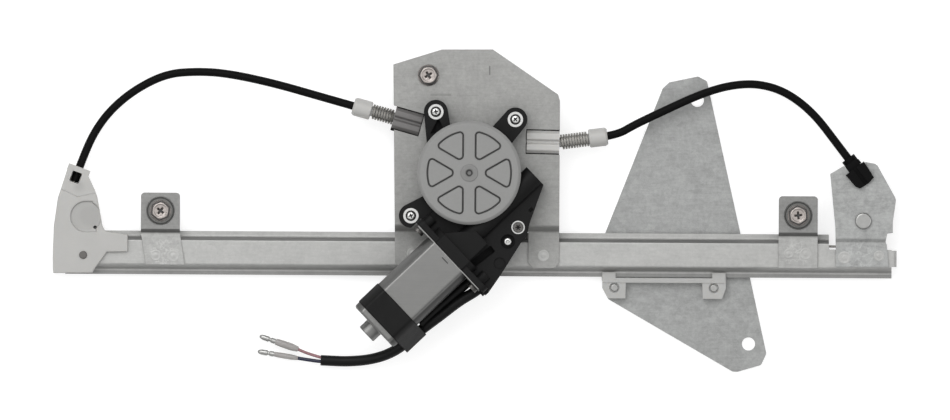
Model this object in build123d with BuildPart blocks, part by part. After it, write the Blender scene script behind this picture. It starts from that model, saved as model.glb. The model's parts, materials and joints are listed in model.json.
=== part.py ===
"""A cable window regulator, in millimetres.

It lies face up: +X runs along the guide rail, +Y towards the top of the motor plate and +Z out
of the face, away from the glass. The origin is the middle of the footprint, on the back.
"""

import os
from math import asin, atan2, cos, degrees, hypot, pi, radians, sin, tan

from build123d import *

os.makedirs("parts", exist_ok=True)

# Guide rail: a folded hat section that opens to the back
rail_left = -262.0
rail_right = 266.8
rail_gauge = 1.2
rail_back = 4.6
rail_front = 13.8
rail_top_edge = -14.4
rail_top_foot = -18.0
rail_web_top = -19.9
rail_web_bottom = -36.0
rail_bottom_foot = -38.6
rail_bottom_edge = -42.3
rail_bend = 1.6
rail_fold_reach = 3.2
rail_notch_left = -238.0
rail_notch_right = 226.6
rail_notch_edge = -24.0

# Steel cable, its sheaths and where they run
cable_radius = 0.75
cable_y = -22.0
cable_z = 9.0
sheath_radius = 2.6
sheath_bore = 1.15
groove_gap = 0.2
drum_cable_z = 13.0

# Glass carrier plate and the slider on it
carrier_gauge = 1.5
glass_hole_radius = 4.2
glass_hole_upper = (141.9, 71.0)
glass_hole_lower = (175.5, -84.7)
slider_left = 81.3
slider_right = 161.0
slider_gap = 0.3
slider_wall = 3.0
slider_rivet_y = -49.2
slider_rivets_x = (89.5, 153.1)
slider_rivet_radius = 2.3
nipple_radius = 1.5
nipple_length = 6.0

# Sheet metal brackets and plate
sheet_gauge = 1.5
flap_width = 25.0
flap_top = 10.0
flap_step = 3.0
flap_bend = -15.8
foot_bottom = -36.0
plate_back = 22.0
plate_top = 102.8
plate_left = -52.8
plate_right = 54.0
plate_bend = -10.2
leg_top = -13.4
leg_bottom = -36.9
pulley_step = 1.5

# Bolts that hold the regulator in the door
bolt_radius = 3.0
bolt_flats = 10.0
bolt_flange_radius = 6.8
bolt_washer_radius = 8.7
bolt_washer_gauge = 1.2
washer_seat_depth = 0.3
bolt_head = 5.2
bolt_tail = 8.0
nut_height = 5.0
left_bolt = (-201.3, -1.6)
right_bolt = (206.9, -2.3)
plate_bolt_place = (-30.3, 86.1)

# End pulley and its rivet
pulley_x = 248.6
pulley_y = -5.6
pulley_height = 6.6
pulley_lip = 0.6
guard_gap = 0.4
rivet_radius = 3.0
rivet_head = 5.3
running_gap = 0.05

# Left end housing, a moulded cable guide
guide_x = -249.2
guide_y = -6.9
housing_front = 17.0
housing_gap = 0.15
guide_entry = 250.0
housing_rivet_at = (-250.6, -30.2)
housing_rivet_radius = 1.7
basin_depth = 1.4
neck_drop = 1.2

# Drum, its axis and its housing
drum_x = -3.8
drum_y = 23.7
drum_pitch = 21.0
drum_grooves = 5
drum_groove_pitch = 2.0
drum_lip = 2.4
drum_wall = 2.0
drum_cup_gap = 1.4
drum_back = 3.0
shaft_radius = 4.5

# Worm drive: one start, module one
gear_module = 1.0
wheel_teeth = 52
worm_pitch_radius = 3.7
tooth_backlash = 0.35
wheel_width = 8.0
wheel_rim = 2.55
worm_turns = 6
motor_axis_z = 38.0
motor_angle = 43.74

# Gearbox and motor, along the motor axis from the point beside the drum
flange_s = -46.4
tower_s = 29.3
can_end_s = -112.1
boss_end_s = -118.9
can_radius = 18.1
can_flats = 26.0
can_wall = 1.5
boss_radius = 6.4
tunnel_radius = 7.2
can_screw_t = 24.85
can_ear_radius = 4.6
armature_radius = 2.5
ear_radius = 7.7
ear_top = 36.0
ears = ((-25.4, 62.7), (25.5, 58.1), (-41.0, -3.9))
screw_radius = 2.5
ear_roots = ((-22.6, 42.0), (12.0, 42.0), (-28.0, 2.0))
ear_root_radius = 8.4
sleeve_rim = 4.9
screw_head_radius = 3.0
screw_head = 3.2
cover_radius = 33.2
cover_gap = 3.5
cover_height = 4.0
cover_base = motor_axis_z + wheel_width / 2 + cover_gap
cover_top = cover_base + cover_height
tape_from = -91.0
tape_length = 17.0
tape_gauge = 0.35

# Ferrules, tension springs and their caps
left_ferrule_centre = (-43.63, 56.53)
left_ferrule_length = 18.0
left_ferrule_radius = 7.0
right_ferrule_centre = (43.3, 43.8)
right_ferrule_length = 21.0
right_ferrule_radius = 7.5
ferrule_groove = 2.9
ferrule_gap = 0.4
ferrule_rise = 1.2
spring_radius = 4.8
spring_wire = 1.05
spring_pitch = 1.75
left_spring_length = 15.0
right_spring_length = 19.0
right_spring_angle = 7.5
cap_length = 12.0
cap_radius = 5.9
stem_radius = 3.2
stem_reach = 2.5

# Motor lead: sleeve, two wires and their terminals
sleeve_radius = 3.4
wire_radius = 1.0
boot_radius = 2.05
boot_length = 14.0
terminal_radius = 1.45
terminal_length = 10.0


base = (Align.CENTER, Align.CENTER, Align.MIN)
hanging = (Align.CENTER, Align.CENTER, Align.MAX)


def save(piece, label):
    """Name a finished piece and write it as a STEP file of the same name."""
    piece.part.label = label
    export_step(piece.part, f"parts/{label}.step")


def polar(angle):
    """A unit vector in the plane of the rail, from an angle in degrees."""
    return Vector(cos(radians(angle)), sin(radians(angle)), 0)


def flat(point, z=0.0):
    """A point of the plan, raised to a height."""
    x, y = tuple(point)[:2]
    return Vector(x, y, z)


def corner_radii(points):
    """The largest arcs that the runs of a route leave room for, one at each corner."""
    radii = []
    for before, corner, after in zip(points, points[1:], points[2:]):
        arriving, leaving = corner - before, after - corner
        shorter = min(arriving.length, leaving.length)
        half_turn = radians(arriving.get_angle(leaving) / 2)
        radii.append(0.45 * shorter / tan(half_turn))
    return radii


def tangent_angle(point, side):
    """The angle at which the line from the drum's pitch circle leaves through a point."""
    dx, dy = point[0] - drum_x, point[1] - drum_y
    return degrees(atan2(dy, dx)) + side * degrees(asin(drum_pitch / hypot(dx, dy)))


def strip(points, bend, left, right):
    """A folded sheet: the line of its front face, in Y and Z, thickened towards the back."""
    with BuildPart() as folded:
        with BuildSketch(Plane.YZ.offset(left)):
            with BuildLine():
                FilletPolyline(*points, radius=bend)
                offset(amount=sheet_gauge, side=Side.LEFT)
            make_face()
        extrude(amount=right - left)
    return folded.part


# Guide rail
rail_line = (
    (rail_top_edge, rail_back + rail_gauge),
    (rail_top_foot, rail_back + rail_gauge),
    (rail_web_top, rail_front),
    (rail_web_bottom, rail_front),
    (rail_bottom_foot, rail_back + rail_gauge),
    (rail_bottom_edge, rail_back + rail_gauge),
)
with BuildPart() as guide_rail:
    with BuildSketch(Plane.YZ.offset(rail_left)):
        with BuildLine():
            FilletPolyline(*rail_line, radius=rail_bend)
            offset(amount=rail_gauge, side=Side.LEFT)
        make_face()
    extrude(amount=rail_right - rail_left)
    notch_height = rail_top_edge - rail_notch_edge + 1
    for edge, outwards in ((rail_notch_left, -1), (rail_notch_right, 1)):
        end = rail_left if outwards < 0 else rail_right
        with BuildSketch(Plane.XY):
            with Locations(((edge + end + outwards) / 2, rail_notch_edge + notch_height / 2)):
                RectangleRounded(abs(end - edge) + 1, notch_height, 1.0)
        extrude(amount=rail_front + 1, mode=Mode.SUBTRACT)
    with Locations(flat(housing_rivet_at, rail_front)):
        Hole(housing_rivet_radius)
    # The web's right end is folded back between the walls
    with BuildSketch(Plane.XZ.offset(-rail_web_bottom - 1)):
        with BuildLine():
            FilletPolyline(
                (rail_right - 2, rail_front),
                (rail_right + rail_fold_reach, rail_front),
                (rail_right + rail_fold_reach, rail_back + 2),
                radius=3.2,
            )
            offset(amount=rail_gauge, side=Side.RIGHT)
        make_face()
    extrude(amount=rail_web_bottom + 1 - rail_notch_edge + 0.5)
save(guide_rail, "guide_rail")

# Steel cable and sheath routes. Both sheaths drop from the drum's height to the rail's.
left_angle = tangent_angle(left_ferrule_centre, 1)
right_angle = tangent_angle(right_ferrule_centre, -1)
left_out, right_out = polar(left_angle), polar(right_angle)
left_cable_z = drum_cable_z + drum_groove_pitch
left_ferrule_at = flat(left_ferrule_centre, left_cable_z)
right_ferrule_at = flat(right_ferrule_centre, drum_cable_z)
right_mouth = right_ferrule_at + right_out * (right_ferrule_length / 2)
right_lean = polar(right_spring_angle)
drum_middle = Vector(drum_x, drum_y, drum_cable_z)
left_leaves = flat(drum_middle, left_cable_z) + polar(left_angle - 90) * drum_pitch
right_leaves = drum_middle + polar(right_angle + 90) * drum_pitch

left_cap_from = left_ferrule_length / 2 + left_spring_length
left_cap_at = left_ferrule_at + left_out * left_cap_from
right_cap_at = right_mouth + right_lean * right_spring_length

guide_radius = guide_y - cable_y
guide_in = polar(guide_entry)
guide_touch = Vector(guide_x, guide_y, cable_z) + polar(guide_entry - 90) * guide_radius
guide_corner = guide_touch + guide_in * ((guide_touch.Y - cable_y) / -guide_in.Y)

pulley_pitch = pulley_y - cable_y
fitting_angle = -52.5
fitting_in = polar(fitting_angle)
pulley_touch = Vector(pulley_x, pulley_y, cable_z) + polar(fitting_angle + 90) * pulley_pitch
pulley_corner = pulley_touch + fitting_in * ((pulley_touch.Y - cable_y) / -fitting_in.Y)

left_route = [
    left_cap_at + left_out * 4,
    left_cap_at + left_out * 33,
    Vector(-130.0, 80.6, 13.4),
    Vector(-159.2, 86.6, 12.0),
    Vector(-178.6, 87.7, 11.1),
    Vector(-198.2, 86.0, 10.3),
    Vector(-218.0, 75.9, 9.5),
    Vector(-233.4, 63.0, cable_z),
    Vector(-243.9, 48.6, cable_z),
    guide_touch - guide_in * 36.5,
    guide_touch - guide_in * 20.0,
]
right_route = [
    right_cap_at + right_lean * 4,
    right_cap_at + right_lean * 18,
    Vector(101.5, 55.0, 13.0),
    Vector(119.9, 63.8, 12.4),
    Vector(139.2, 72.9, 11.8),
    Vector(154.9, 78.7, 11.2),
    Vector(168.4, 81.4, 10.6),
    Vector(181.0, 81.6, 10.1),
    Vector(194.3, 78.3, 9.7),
    Vector(206.6, 71.2, 9.3),
    Vector(218.4, 60.6, cable_z),
    pulley_touch - fitting_in * 52.0,
    pulley_touch - fitting_in * 36.0,
]
slider_middle = Vector((slider_left + slider_right) / 2, cable_y, cable_z)


def tube(points, radii, outer, inner=0.0):
    """A round tube, or a solid cable, along straight runs joined by arcs."""
    with BuildPart() as swept:
        with BuildLine() as line:
            if radii:
                FilletPolyline(*points, radius=radii)
            else:
                Line(*points)
        with BuildSketch(Plane(origin=line.line @ 0, z_dir=line.line % 0)):
            Circle(outer)
            if inner:
                Circle(inner, mode=Mode.SUBTRACT)
        sweep()
    section, length = pi * (outer**2 - inner**2), line.wires()[0].length
    print(f"tube: {length:.1f} long, {swept.part.volume / (section * length):.4f} of its section times length")
    print("  radii", [round(radius, 1) for radius in radii])
    return swept.part


left_radii, right_radii = corner_radii(left_route), corner_radii(right_route)
with BuildPart() as left_conduit:
    add(tube(left_route, left_radii, sheath_radius, sheath_bore))
save(left_conduit, "left_conduit")

with BuildPart() as right_conduit:
    add(tube(right_route, right_radii, sheath_radius, sheath_bore))
save(right_conduit, "right_conduit")

with BuildPart() as left_cable:
    left_line = [left_leaves, *left_route[1:-1], guide_corner, slider_middle]
    add(tube(left_line, [*left_radii, guide_radius], cable_radius))
save(left_cable, "left_cable")

with BuildPart() as right_cable:
    right_line = [right_leaves, right_mouth, *right_route[1:-1], pulley_corner, slider_middle]
    mouth_radius = 40.0
    add(tube(right_line, [mouth_radius, *right_radii, pulley_pitch], cable_radius))
save(right_cable, "right_cable")

# Left end housing: the sheath drops in at the top and the cable turns in it towards the rail
housing_outline = (
    (-260.9, 25.2), (-263.6, 16.7), (-267.0, 6.4), (-269.5, -11.7), (-270.1, -32.6),
    (-269.8, -41.9), (-244.5, -41.6), (-243.6, -39.4), (-235.4, -28.2), (-222.1, -27.8),
    (-222.1, -16.9), (-236.4, -14.9), (-238.3, -11.6), (-241.8, 7.2), (-243.4, 11.6), (-248.0, 21.2),
)
pocket_outline = (
    (rail_top_edge + housing_gap, rail_back - housing_gap),
    (rail_top_edge + housing_gap, rail_back + rail_gauge + housing_gap),
    (rail_top_foot + housing_gap, rail_back + rail_gauge + housing_gap),
    (rail_web_top + housing_gap, rail_front + housing_gap),
    (rail_web_bottom - housing_gap, rail_front + housing_gap),
    (rail_bottom_foot - housing_gap, rail_back + rail_gauge + housing_gap),
    (rail_bottom_edge - 2, rail_back + rail_gauge + housing_gap),
    (rail_bottom_edge - 2, rail_back - housing_gap),
)
sheath_end = left_route[-1]
sheath_frame = Plane(origin=sheath_end, x_dir=(0, 0, 1), z_dir=-guide_in)
with BuildPart() as left_end_housing:
    with BuildSketch():
        with BuildLine():
            Polyline(*housing_outline, close=True)
        make_face()
    extrude(amount=housing_front)
    fillet(left_end_housing.faces().sort_by(Axis.Z)[-1].edges(), 0.9)
    # The collar that the sheath enters by
    with BuildSketch(sheath_frame.offset(5.6)):
        with Locations((1.7, 0.2)):
            RectangleRounded(12.4, 14.6, 1.5)
    extrude(amount=4.0)
    # The pocket that takes the rail's end
    with BuildSketch(Plane.YZ.offset(rail_left - housing_gap)):
        with BuildLine():
            Polyline(*pocket_outline, close=True)
        pocket = make_face()
        feet = pocket.vertices().filter_by_position(Axis.Y, rail_back + 1, rail_front - 1)
        fillet(feet.sort_by(Axis.X)[1:-1], rail_bend + 0.4)
    extrude(amount=60, mode=Mode.SUBTRACT)
    # The sheath's socket, its window and the curved way for the cable
    with BuildSketch(sheath_frame):
        Circle(sheath_radius)
    extrude(amount=30, mode=Mode.SUBTRACT)
    with BuildSketch(Plane(origin=sheath_end, x_dir=-guide_in, z_dir=(0, 0, 1))):
        with Locations((2.6, 0)):
            RectangleRounded(7.0, 6.4, 0.8)
    extrude(amount=housing_front, mode=Mode.SUBTRACT)
    cable_way = tube(
        [sheath_end - guide_in * 2, guide_corner, Vector(guide_x + 30, cable_y, cable_z)],
        [guide_radius],
        cable_radius + 0.35,
    )
    add(cable_way, mode=Mode.SUBTRACT)
    # The shallow basin round the guide's middle, inside a rim, and a small peg hole
    with BuildSketch(Plane.XY.offset(housing_front)):
        with Locations((guide_x + 0.2, guide_y + 1.2)):
            Circle(10.2)
        with BuildLine():
            Polyline((guide_x, guide_y + 11.4), (-244.3, 4.5), (-241.8, -15.6), (guide_x, guide_y - 9.0), close=True)
        make_face()
    extrude(amount=-basin_depth, taper=30, mode=Mode.SUBTRACT)
    # The neck under the collar lies lower than the front
    with BuildSketch(Plane.XY.offset(housing_front)):
        with BuildLine():
            Polyline((-275.0, 40.0), (-266.0, 12.0), (-254.4, 6.6), (-239.0, 10.0), (-239.0, 40.0), close=True)
        make_face()
    extrude(amount=-neck_drop, taper=30, mode=Mode.SUBTRACT)
    with Locations((-243.1, -12.4, housing_front)):
        Hole(1.1, depth=7)
    with Locations(flat(housing_rivet_at, housing_front)):
        Hole(housing_rivet_radius, depth=housing_front)
save(left_end_housing, "left_end_housing")

rivet_tail = 1.4
with BuildPart(Plane.XY.offset(rail_front - rail_gauge - rivet_tail)) as housing_rivet:
    with Locations(housing_rivet_at):
        Cylinder(housing_rivet_radius + 0.6, rivet_tail, align=base)
        Cylinder(housing_rivet_radius, housing_front - rail_front + rail_gauge + rivet_tail + 0.4, align=base)
        with Locations((0, 0, housing_front - rail_front + rail_gauge + rivet_tail)):
            Cylinder(housing_rivet_radius + 0.8, 1.1, align=base)
    fillet(housing_rivet.faces().sort_by(Axis.Z)[-1].edges(), 0.6)
save(housing_rivet, "housing_rivet")


# Mount brackets: a foot welded to the rail's web and a raised flap with the bolt through it
def mount_bracket(bolt, foot_shift):
    """A mount bracket round its bolt, with its foot shifted along the rail."""
    left, right = bolt[0] - flap_width / 2, bolt[0] + flap_width / 2
    face = rail_front + sheet_gauge
    line = (
        (flap_top, face + flap_step),
        (flap_bend + 2.2, face + flap_step),
        (flap_bend, face),
        (foot_bottom, face),
    )
    with BuildPart() as bracket:
        add(strip(line, 1.8, left - 5, right + 5))
        with BuildSketch():
            with BuildLine():
                Polyline(
                    (left, flap_top),
                    (right, flap_top),
                    (right, flap_bend),
                    (right + foot_shift, foot_bottom),
                    (left + foot_shift, foot_bottom),
                    (left, flap_bend),
                    close=True,
                )
            face_of_plan = make_face()
            fillet(face_of_plan.vertices().group_by(Axis.Y)[-1], 2.4)
            fillet(face_of_plan.vertices().group_by(Axis.Y)[0], 1.0)
        extrude(amount=30, mode=Mode.INTERSECT)
        # The bolt's hole, with a coined seat that holds its washer
        with Locations((bolt[0], bolt[1], face + flap_step)):
            CounterBoreHole(bolt_radius, bolt_washer_radius + 0.3, washer_seat_depth)
    return bracket.part


with BuildPart() as left_mount_bracket:
    add(mount_bracket(left_bolt, 3.2))
save(left_mount_bracket, "left_mount_bracket")

with BuildPart() as right_mount_bracket:
    add(mount_bracket(right_bolt, 0.0))
save(right_mount_bracket, "right_mount_bracket")

# Motor plate: two legs welded to the rail and a raised panel that carries the drive
plate_front = plate_back + sheet_gauge
plate_line = (
    (plate_top, plate_front),
    (plate_bend, plate_front),
    (leg_top, rail_front + sheet_gauge),
    (leg_bottom, rail_front + sheet_gauge),
)
plate_outline = (
    (plate_left, 92.9), (-21.8, plate_top - 0.2), (10.9, plate_top), (52.8, 74.2), (plate_right, 70.0),
    (plate_right, leg_bottom + 3), (plate_right - 3, leg_bottom), (37.2, leg_bottom),
    (34.2, leg_bottom + 3), (34.2, leg_top - 0.6), (-18.0, leg_top - 0.6), (-18.0, leg_bottom + 3),
    (-21.0, leg_bottom), (-48.0, leg_bottom), (-51.0, leg_bottom + 3),
)
with BuildPart() as motor_plate:
    add(strip(plate_line, 1.8, plate_left - 2, plate_right + 2))
    with BuildSketch():
        with BuildLine():
            Polyline(*plate_outline, close=True)
        make_face()
        # Slots that hold the ferrules, the drive's opening and the screw holes
        for centre, angle, length, radius in (
            (left_ferrule_at, left_angle, left_ferrule_length, left_ferrule_radius),
            (right_ferrule_at, right_angle, right_ferrule_length, right_ferrule_radius),
        ):
            slot_in, slot_out = length / 2 + ferrule_gap, length
            with Locations(Location(centre, (0, 0, angle))):
                with Locations(((slot_out - slot_in) / 2, 0)):
                    Rectangle(slot_out + slot_in, 2 * (radius + ferrule_gap), mode=Mode.SUBTRACT)
        with Locations((drum_x, drum_y)):
            Circle(13.2, mode=Mode.SUBTRACT)
        with Locations(*ears):
            Circle(screw_radius, mode=Mode.SUBTRACT)
        with Locations(plate_bolt_place):
            Circle(bolt_radius, mode=Mode.SUBTRACT)
    extrude(amount=30, mode=Mode.INTERSECT)
save(motor_plate, "motor_plate")

# Pulley bracket: stepped forward of the rail, slotted for the fitting, with a cable guard tab
pulley_bracket_back = rail_front + pulley_step
pulley_rim = pulley_pitch + pulley_lip
guard_left = pulley_x + pulley_rim + guard_gap
guard_right = guard_left + sheet_gauge
pulley_bracket_outline = (
    (227.2, 24.4), (235.1, 29.1), (250.2, 32.1), (255.8, 31.1), (257.5, 29.9), (268.8, 9.7),
    (269.4, 7.7), (guard_right, -6.0), (guard_right, -13.2), (264.0, -13.6), (262.9, -18.8), (263.7, -20.9),
    (265.0, -35.0), (231.2, -35.0), (230.7, -10.4),
)
with BuildPart() as pulley_bracket:
    bracket_line = (
        (40.0, pulley_bracket_back + sheet_gauge),
        (-17.0, pulley_bracket_back + sheet_gauge),
        (-19.2, rail_front + sheet_gauge),
        (-35.0, rail_front + sheet_gauge),
    )
    add(strip(bracket_line, 1.7, 220, 275))
    with BuildSketch():
        with BuildLine():
            Polyline(*pulley_bracket_outline, close=True)
        make_face()
        with Locations(Location(pulley_touch, (0, 0, fitting_angle))):
            with Locations((-19 - 20, -0.4)):
                Rectangle(40, 8.8, mode=Mode.SUBTRACT)
        with Locations((pulley_x, pulley_y)):
            Circle(rivet_radius, mode=Mode.SUBTRACT)
    extrude(amount=30, mode=Mode.INTERSECT)
    with BuildSketch(Plane.XY.offset(pulley_bracket_back + 0.2)):
        with Locations(((guard_left + guard_right) / 2, -9.7)):
            Rectangle(sheet_gauge, 6.4)
    extrude(amount=-9.5)
save(pulley_bracket, "pulley_bracket")

# End pulley: a grooved wheel on a shouldered rivet
pulley_low = cable_z - pulley_height / 2
with BuildPart() as end_pulley:
    with BuildSketch(Plane(origin=(pulley_x, pulley_y, cable_z), x_dir=(1, 0, 0), z_dir=(0, -1, 0))):
        with BuildLine():
            groove_floor = pulley_pitch - cable_radius - groove_gap
            half = pulley_height / 2
            Polyline(
                (rivet_radius + running_gap, -half), (rivet_radius + 2.4, -half), (rivet_radius + 2.4, -half + 1),
                (groove_floor - 2.0, -half + 1), (groove_floor - 2.0, -half), (pulley_rim, -half),
                (groove_floor + 0.3, -1.0), (groove_floor, 0), (groove_floor + 0.3, 1.0), (pulley_rim, half),
                (groove_floor - 2.0, half), (groove_floor - 2.0, half - 1), (rivet_radius + 2.4, half - 1),
                (rivet_radius + 2.4, half), (rivet_radius + running_gap, half), close=True,
            )
        make_face()
    revolve(axis=Axis((pulley_x, pulley_y, 0), (0, 0, 1)))
save(end_pulley, "end_pulley")

with BuildPart(Plane.XY.offset(pulley_low - 1.3)) as pulley_rivet:
    with Locations((pulley_x, pulley_y)):
        Cylinder(rivet_radius + 1.6, 1.2, align=base)
        Cylinder(rivet_radius, pulley_bracket_back + sheet_gauge + 1 - pulley_low + 1.3,
                 align=base)
        with Locations((0, 0, pulley_height + 1.4)):
            Cylinder(rivet_radius + 1.8, pulley_bracket_back - pulley_low - pulley_height - 0.1,
                     align=base)
        with Locations((0, 0, pulley_bracket_back + sheet_gauge - pulley_low + 1.3)):
            Cylinder(rivet_head, 2.2, align=base)
    fillet(pulley_rivet.faces().sort_by(Axis.Z)[-1].edges(), 1.2)
save(pulley_rivet, "pulley_rivet")

# Sheath fitting: clipped into the pulley bracket's slot, it seats the right sheath
fitting_plane = Plane(origin=pulley_touch, x_dir=fitting_in, z_dir=(0, 0, 1))
fitting_axis = Plane(origin=right_route[-1], x_dir=(0, 0, 1), z_dir=-fitting_in)
bracket_face = pulley_bracket_back + sheet_gauge - cable_z
with BuildPart() as conduit_fitting:
    with BuildSketch(fitting_plane.offset(-4.5)):
        with Locations((-26.0, -0.4)):
            RectangleRounded(16.0, 11.0, 1.0)
    extrude(amount=pulley_bracket_back - cable_z + 4.4)
    with BuildSketch(fitting_plane.offset(-4.5)):
        with Locations((-27.0, -0.4)):
            Rectangle(15.6, 8.6)
    extrude(amount=bracket_face + 4.6)
    with BuildSketch(fitting_plane.offset(bracket_face + 0.1)):
        with BuildLine():
            Polyline((-30.2, -7.7), (-30.2, 6.9), (-18.2, 5.9), (-17.2, 1.0), (-17.8, -5.6), (-20.6, -7.1),
                     close=True)
        make_face()
    extrude(amount=3.4)
    chamfer(conduit_fitting.faces().sort_by(Axis.Z)[-1].edges(), 0.5)
    with BuildSketch(fitting_plane.offset(bracket_face + 3.5)):
        with Locations((-24, -0.5)):
            Rectangle(16, 2.6)
    extrude(amount=-2.0, mode=Mode.SUBTRACT)
    with BuildSketch(fitting_axis.offset(-4.0)):
        Circle(4.7)
    extrude(amount=6.0)
    with BuildSketch(fitting_axis):
        Circle(sheath_radius)
    extrude(amount=20, mode=Mode.SUBTRACT)
    with BuildSketch(fitting_axis):
        Circle(cable_radius + 0.4)
    extrude(amount=-30, mode=Mode.SUBTRACT)
save(conduit_fitting, "conduit_fitting")


# Bolts with their washers and weld nuts
flap_seat = rail_front + sheet_gauge + flap_step
washer_rise = bolt_washer_gauge - washer_seat_depth
bolt_seats = (
    (left_bolt, flap_seat, washer_rise),
    (right_bolt, flap_seat, washer_rise),
    (plate_bolt_place, plate_front, 0.0),
)
with BuildPart() as mount_bolts:
    for place, seat, rise in bolt_seats:
        with Locations(flat(place, seat + rise)):
            Cylinder(bolt_flange_radius, 1.4, align=base)
            with Locations((0, 0, 1.4)):
                Cone(bolt_flange_radius, bolt_flats / 2 + 0.6, 0.6, align=base)
        with BuildSketch(Plane.XY.offset(seat + rise + 1.4)):
            with Locations(place):
                RegularPolygon(bolt_flats / 2, 6, major_radius=False)
        extrude(amount=bolt_head - 1.4)
        with Locations(flat(place, seat + rise)):
            Cylinder(bolt_radius, rise + sheet_gauge + nut_height + bolt_tail, align=hanging)
    # Cross recesses in the heads
    for place, seat, rise in bolt_seats:
        with BuildSketch(Plane.XY.offset(seat + rise + bolt_head)):
            with Locations(place):
                Rectangle(5.6, 1.3)
                Rectangle(1.3, 5.6)
        extrude(amount=-2.0, mode=Mode.SUBTRACT)
    chamfer(mount_bolts.faces().filter_by(Plane.XY).group_by(Axis.Z)[0].edges(), 0.7)
save(mount_bolts, "mount_bolts")

with BuildPart() as bolt_washers:
    for place, seat, _ in bolt_seats[:2]:
        with BuildSketch(Plane.XY.offset(seat - washer_seat_depth)):
            with Locations(place):
                Circle(bolt_washer_radius)
                Circle(bolt_radius, mode=Mode.SUBTRACT)
        extrude(amount=bolt_washer_gauge)
save(bolt_washers, "bolt_washers")

with BuildPart() as weld_nuts:
    for place, seat, _ in bolt_seats:
        with BuildSketch(Plane.XY.offset(seat - sheet_gauge)):
            with Locations(place):
                RegularPolygon(bolt_flats / 2, 6, major_radius=False)
                Circle(bolt_radius, mode=Mode.SUBTRACT)
        extrude(amount=-nut_height)
save(weld_nuts, "weld_nuts")

# Glass carrier plate, flat, with two glass holes and the slider's rivet holes
carrier_outline = (
    (119.7, 78.5), (123.9, 82.4), (142.2, 86.3), (148.0, 83.3), (169.9, -13.9), (176.2, -42.5),
    (187.0, -90.8), (183.6, -98.2), (168.5, -102.6), (165.3, -102.4), (85.5, -56.5), (82.0, -49.6),
    (83.4, -14.4),
)
carrier_corners = ((119.7, 78.5), (148.0, 83.3), (187.0, -90.8), (183.6, -98.2), (168.5, -102.6), (85.5, -56.5))
with BuildPart() as carrier_plate:
    with BuildSketch():
        with BuildLine():
            Polyline(*carrier_outline, close=True)
        make_face()
        with Locations(glass_hole_upper, glass_hole_lower):
            Circle(glass_hole_radius, mode=Mode.SUBTRACT)
        with Locations(*((x, slider_rivet_y) for x in slider_rivets_x)):
            Circle(slider_rivet_radius - 0.5, mode=Mode.SUBTRACT)
    extrude(amount=carrier_gauge)
    for x, y in carrier_corners:
        upright = carrier_plate.edges().filter_by(Axis.Z).sort_by_distance((x, y, carrier_gauge / 2))[0]
        fillet(upright, 2.4)
save(carrier_plate, "carrier_plate")

# Slider shoe: a pad behind the rail, a rib in its channel and hooks over its lower flange
shoe_front = rail_back - slider_gap
hook_back = rail_back + rail_gauge + slider_gap
bar_top = rail_bottom_edge - 0.6
lug_length = 8.6
with BuildPart() as slider_shoe:
    with BuildSketch(Plane.XY.offset(carrier_gauge)):
        with Locations(((slider_left + slider_right) / 2, (bar_top - slider_wall - 15.5) / 2)):
            RectangleRounded(slider_right - slider_left, -15.5 - bar_top + slider_wall, 2.0)
    extrude(amount=shoe_front - carrier_gauge)
    with BuildSketch(Plane.XY.offset(carrier_gauge)):
        with Locations(((slider_left + slider_right) / 2, bar_top - slider_wall / 2)):
            Rectangle(slider_right - slider_left - 0.8, slider_wall)
    extrude(amount=6.2)
    # The rib that runs in the channel, with a seat for a nipple at each end
    with BuildSketch(Plane.YZ.offset(slider_left + 0.8)):
        with BuildLine():
            Polyline((cable_y - 1.6, 2), (cable_y - 1.6, 12.0), (rail_web_bottom + 1.7, 12.0),
                     (rail_bottom_foot + 1.9, rail_back), (rail_bottom_foot + 1.9, 2), close=True)
        make_face()
    extrude(amount=slider_right - slider_left - 1.6)
    for outer_end, inwards in ((slider_left + 0.8, 1), (slider_right - 0.8, -1)):
        with BuildSketch(Plane.XY.offset(2)):
            with Locations((outer_end + inwards * lug_length / 2, cable_y - 0.2)):
                Rectangle(lug_length, 3.2)
        extrude(amount=9.0)
        with BuildSketch(Plane.XY.offset(cable_z + nipple_radius + 1)):
            with Locations((outer_end + inwards * (1.6 + nipple_length / 2), cable_y + 1)):
                Rectangle(nipple_length + 0.1, 2 * nipple_radius + 2.1)
        extrude(amount=-2 * nipple_radius - 1, mode=Mode.SUBTRACT)
    with BuildSketch(Plane.XY.offset(cable_z + 5)):
        with Locations(((slider_left + slider_right) / 2, cable_y)):
            Rectangle(slider_right - slider_left + 2, 2.3)
    extrude(amount=-6.2, mode=Mode.SUBTRACT)
    # Bosses round the rivets and the hooks above them
    boss_left = ((81.7, bar_top), (81.7, -49.4), (85.2, -56.0), (96.5, -56.0), (96.9, bar_top))
    boss_right = ((145.7, bar_top), (146.1, -56.0), (158.4, -56.0), (160.8, -49.4), (160.8, bar_top))
    for boss in (boss_left, boss_right):
        with BuildSketch(Plane.XY.offset(carrier_gauge)):
            with BuildLine():
                Polyline(*boss, close=True)
            make_face()
        extrude(amount=5.6)
    for hook_left, hook_right in ((81.7, 90.2), (152.1, 160.6)):
        with BuildSketch(Plane.XY.offset(hook_back)):
            with Locations(((hook_left + hook_right) / 2, (bar_top - slider_wall - 39.3) / 2)):
                Rectangle(hook_right - hook_left, -39.3 - bar_top + slider_wall)
        extrude(amount=1.7)
    with Locations(*((x, slider_rivet_y, carrier_gauge + 5.6) for x in slider_rivets_x)):
        CounterBoreHole(slider_rivet_radius - 0.5, slider_rivet_radius + 1.0, 1.6)
save(slider_shoe, "slider_shoe")

with BuildPart() as slider_rivets:
    for x in slider_rivets_x:
        with Locations((x, slider_rivet_y, 0)):
            Cylinder(slider_rivet_radius - 0.5, carrier_gauge + 5.0, align=base)
            with Locations((0, 0, carrier_gauge + 4.0)):
                Cylinder(slider_rivet_radius, 1.3, align=base)
    fillet(slider_rivets.faces().group_by(Axis.Z)[-1].edges(), 0.5)
save(slider_rivets, "slider_rivets")

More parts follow.
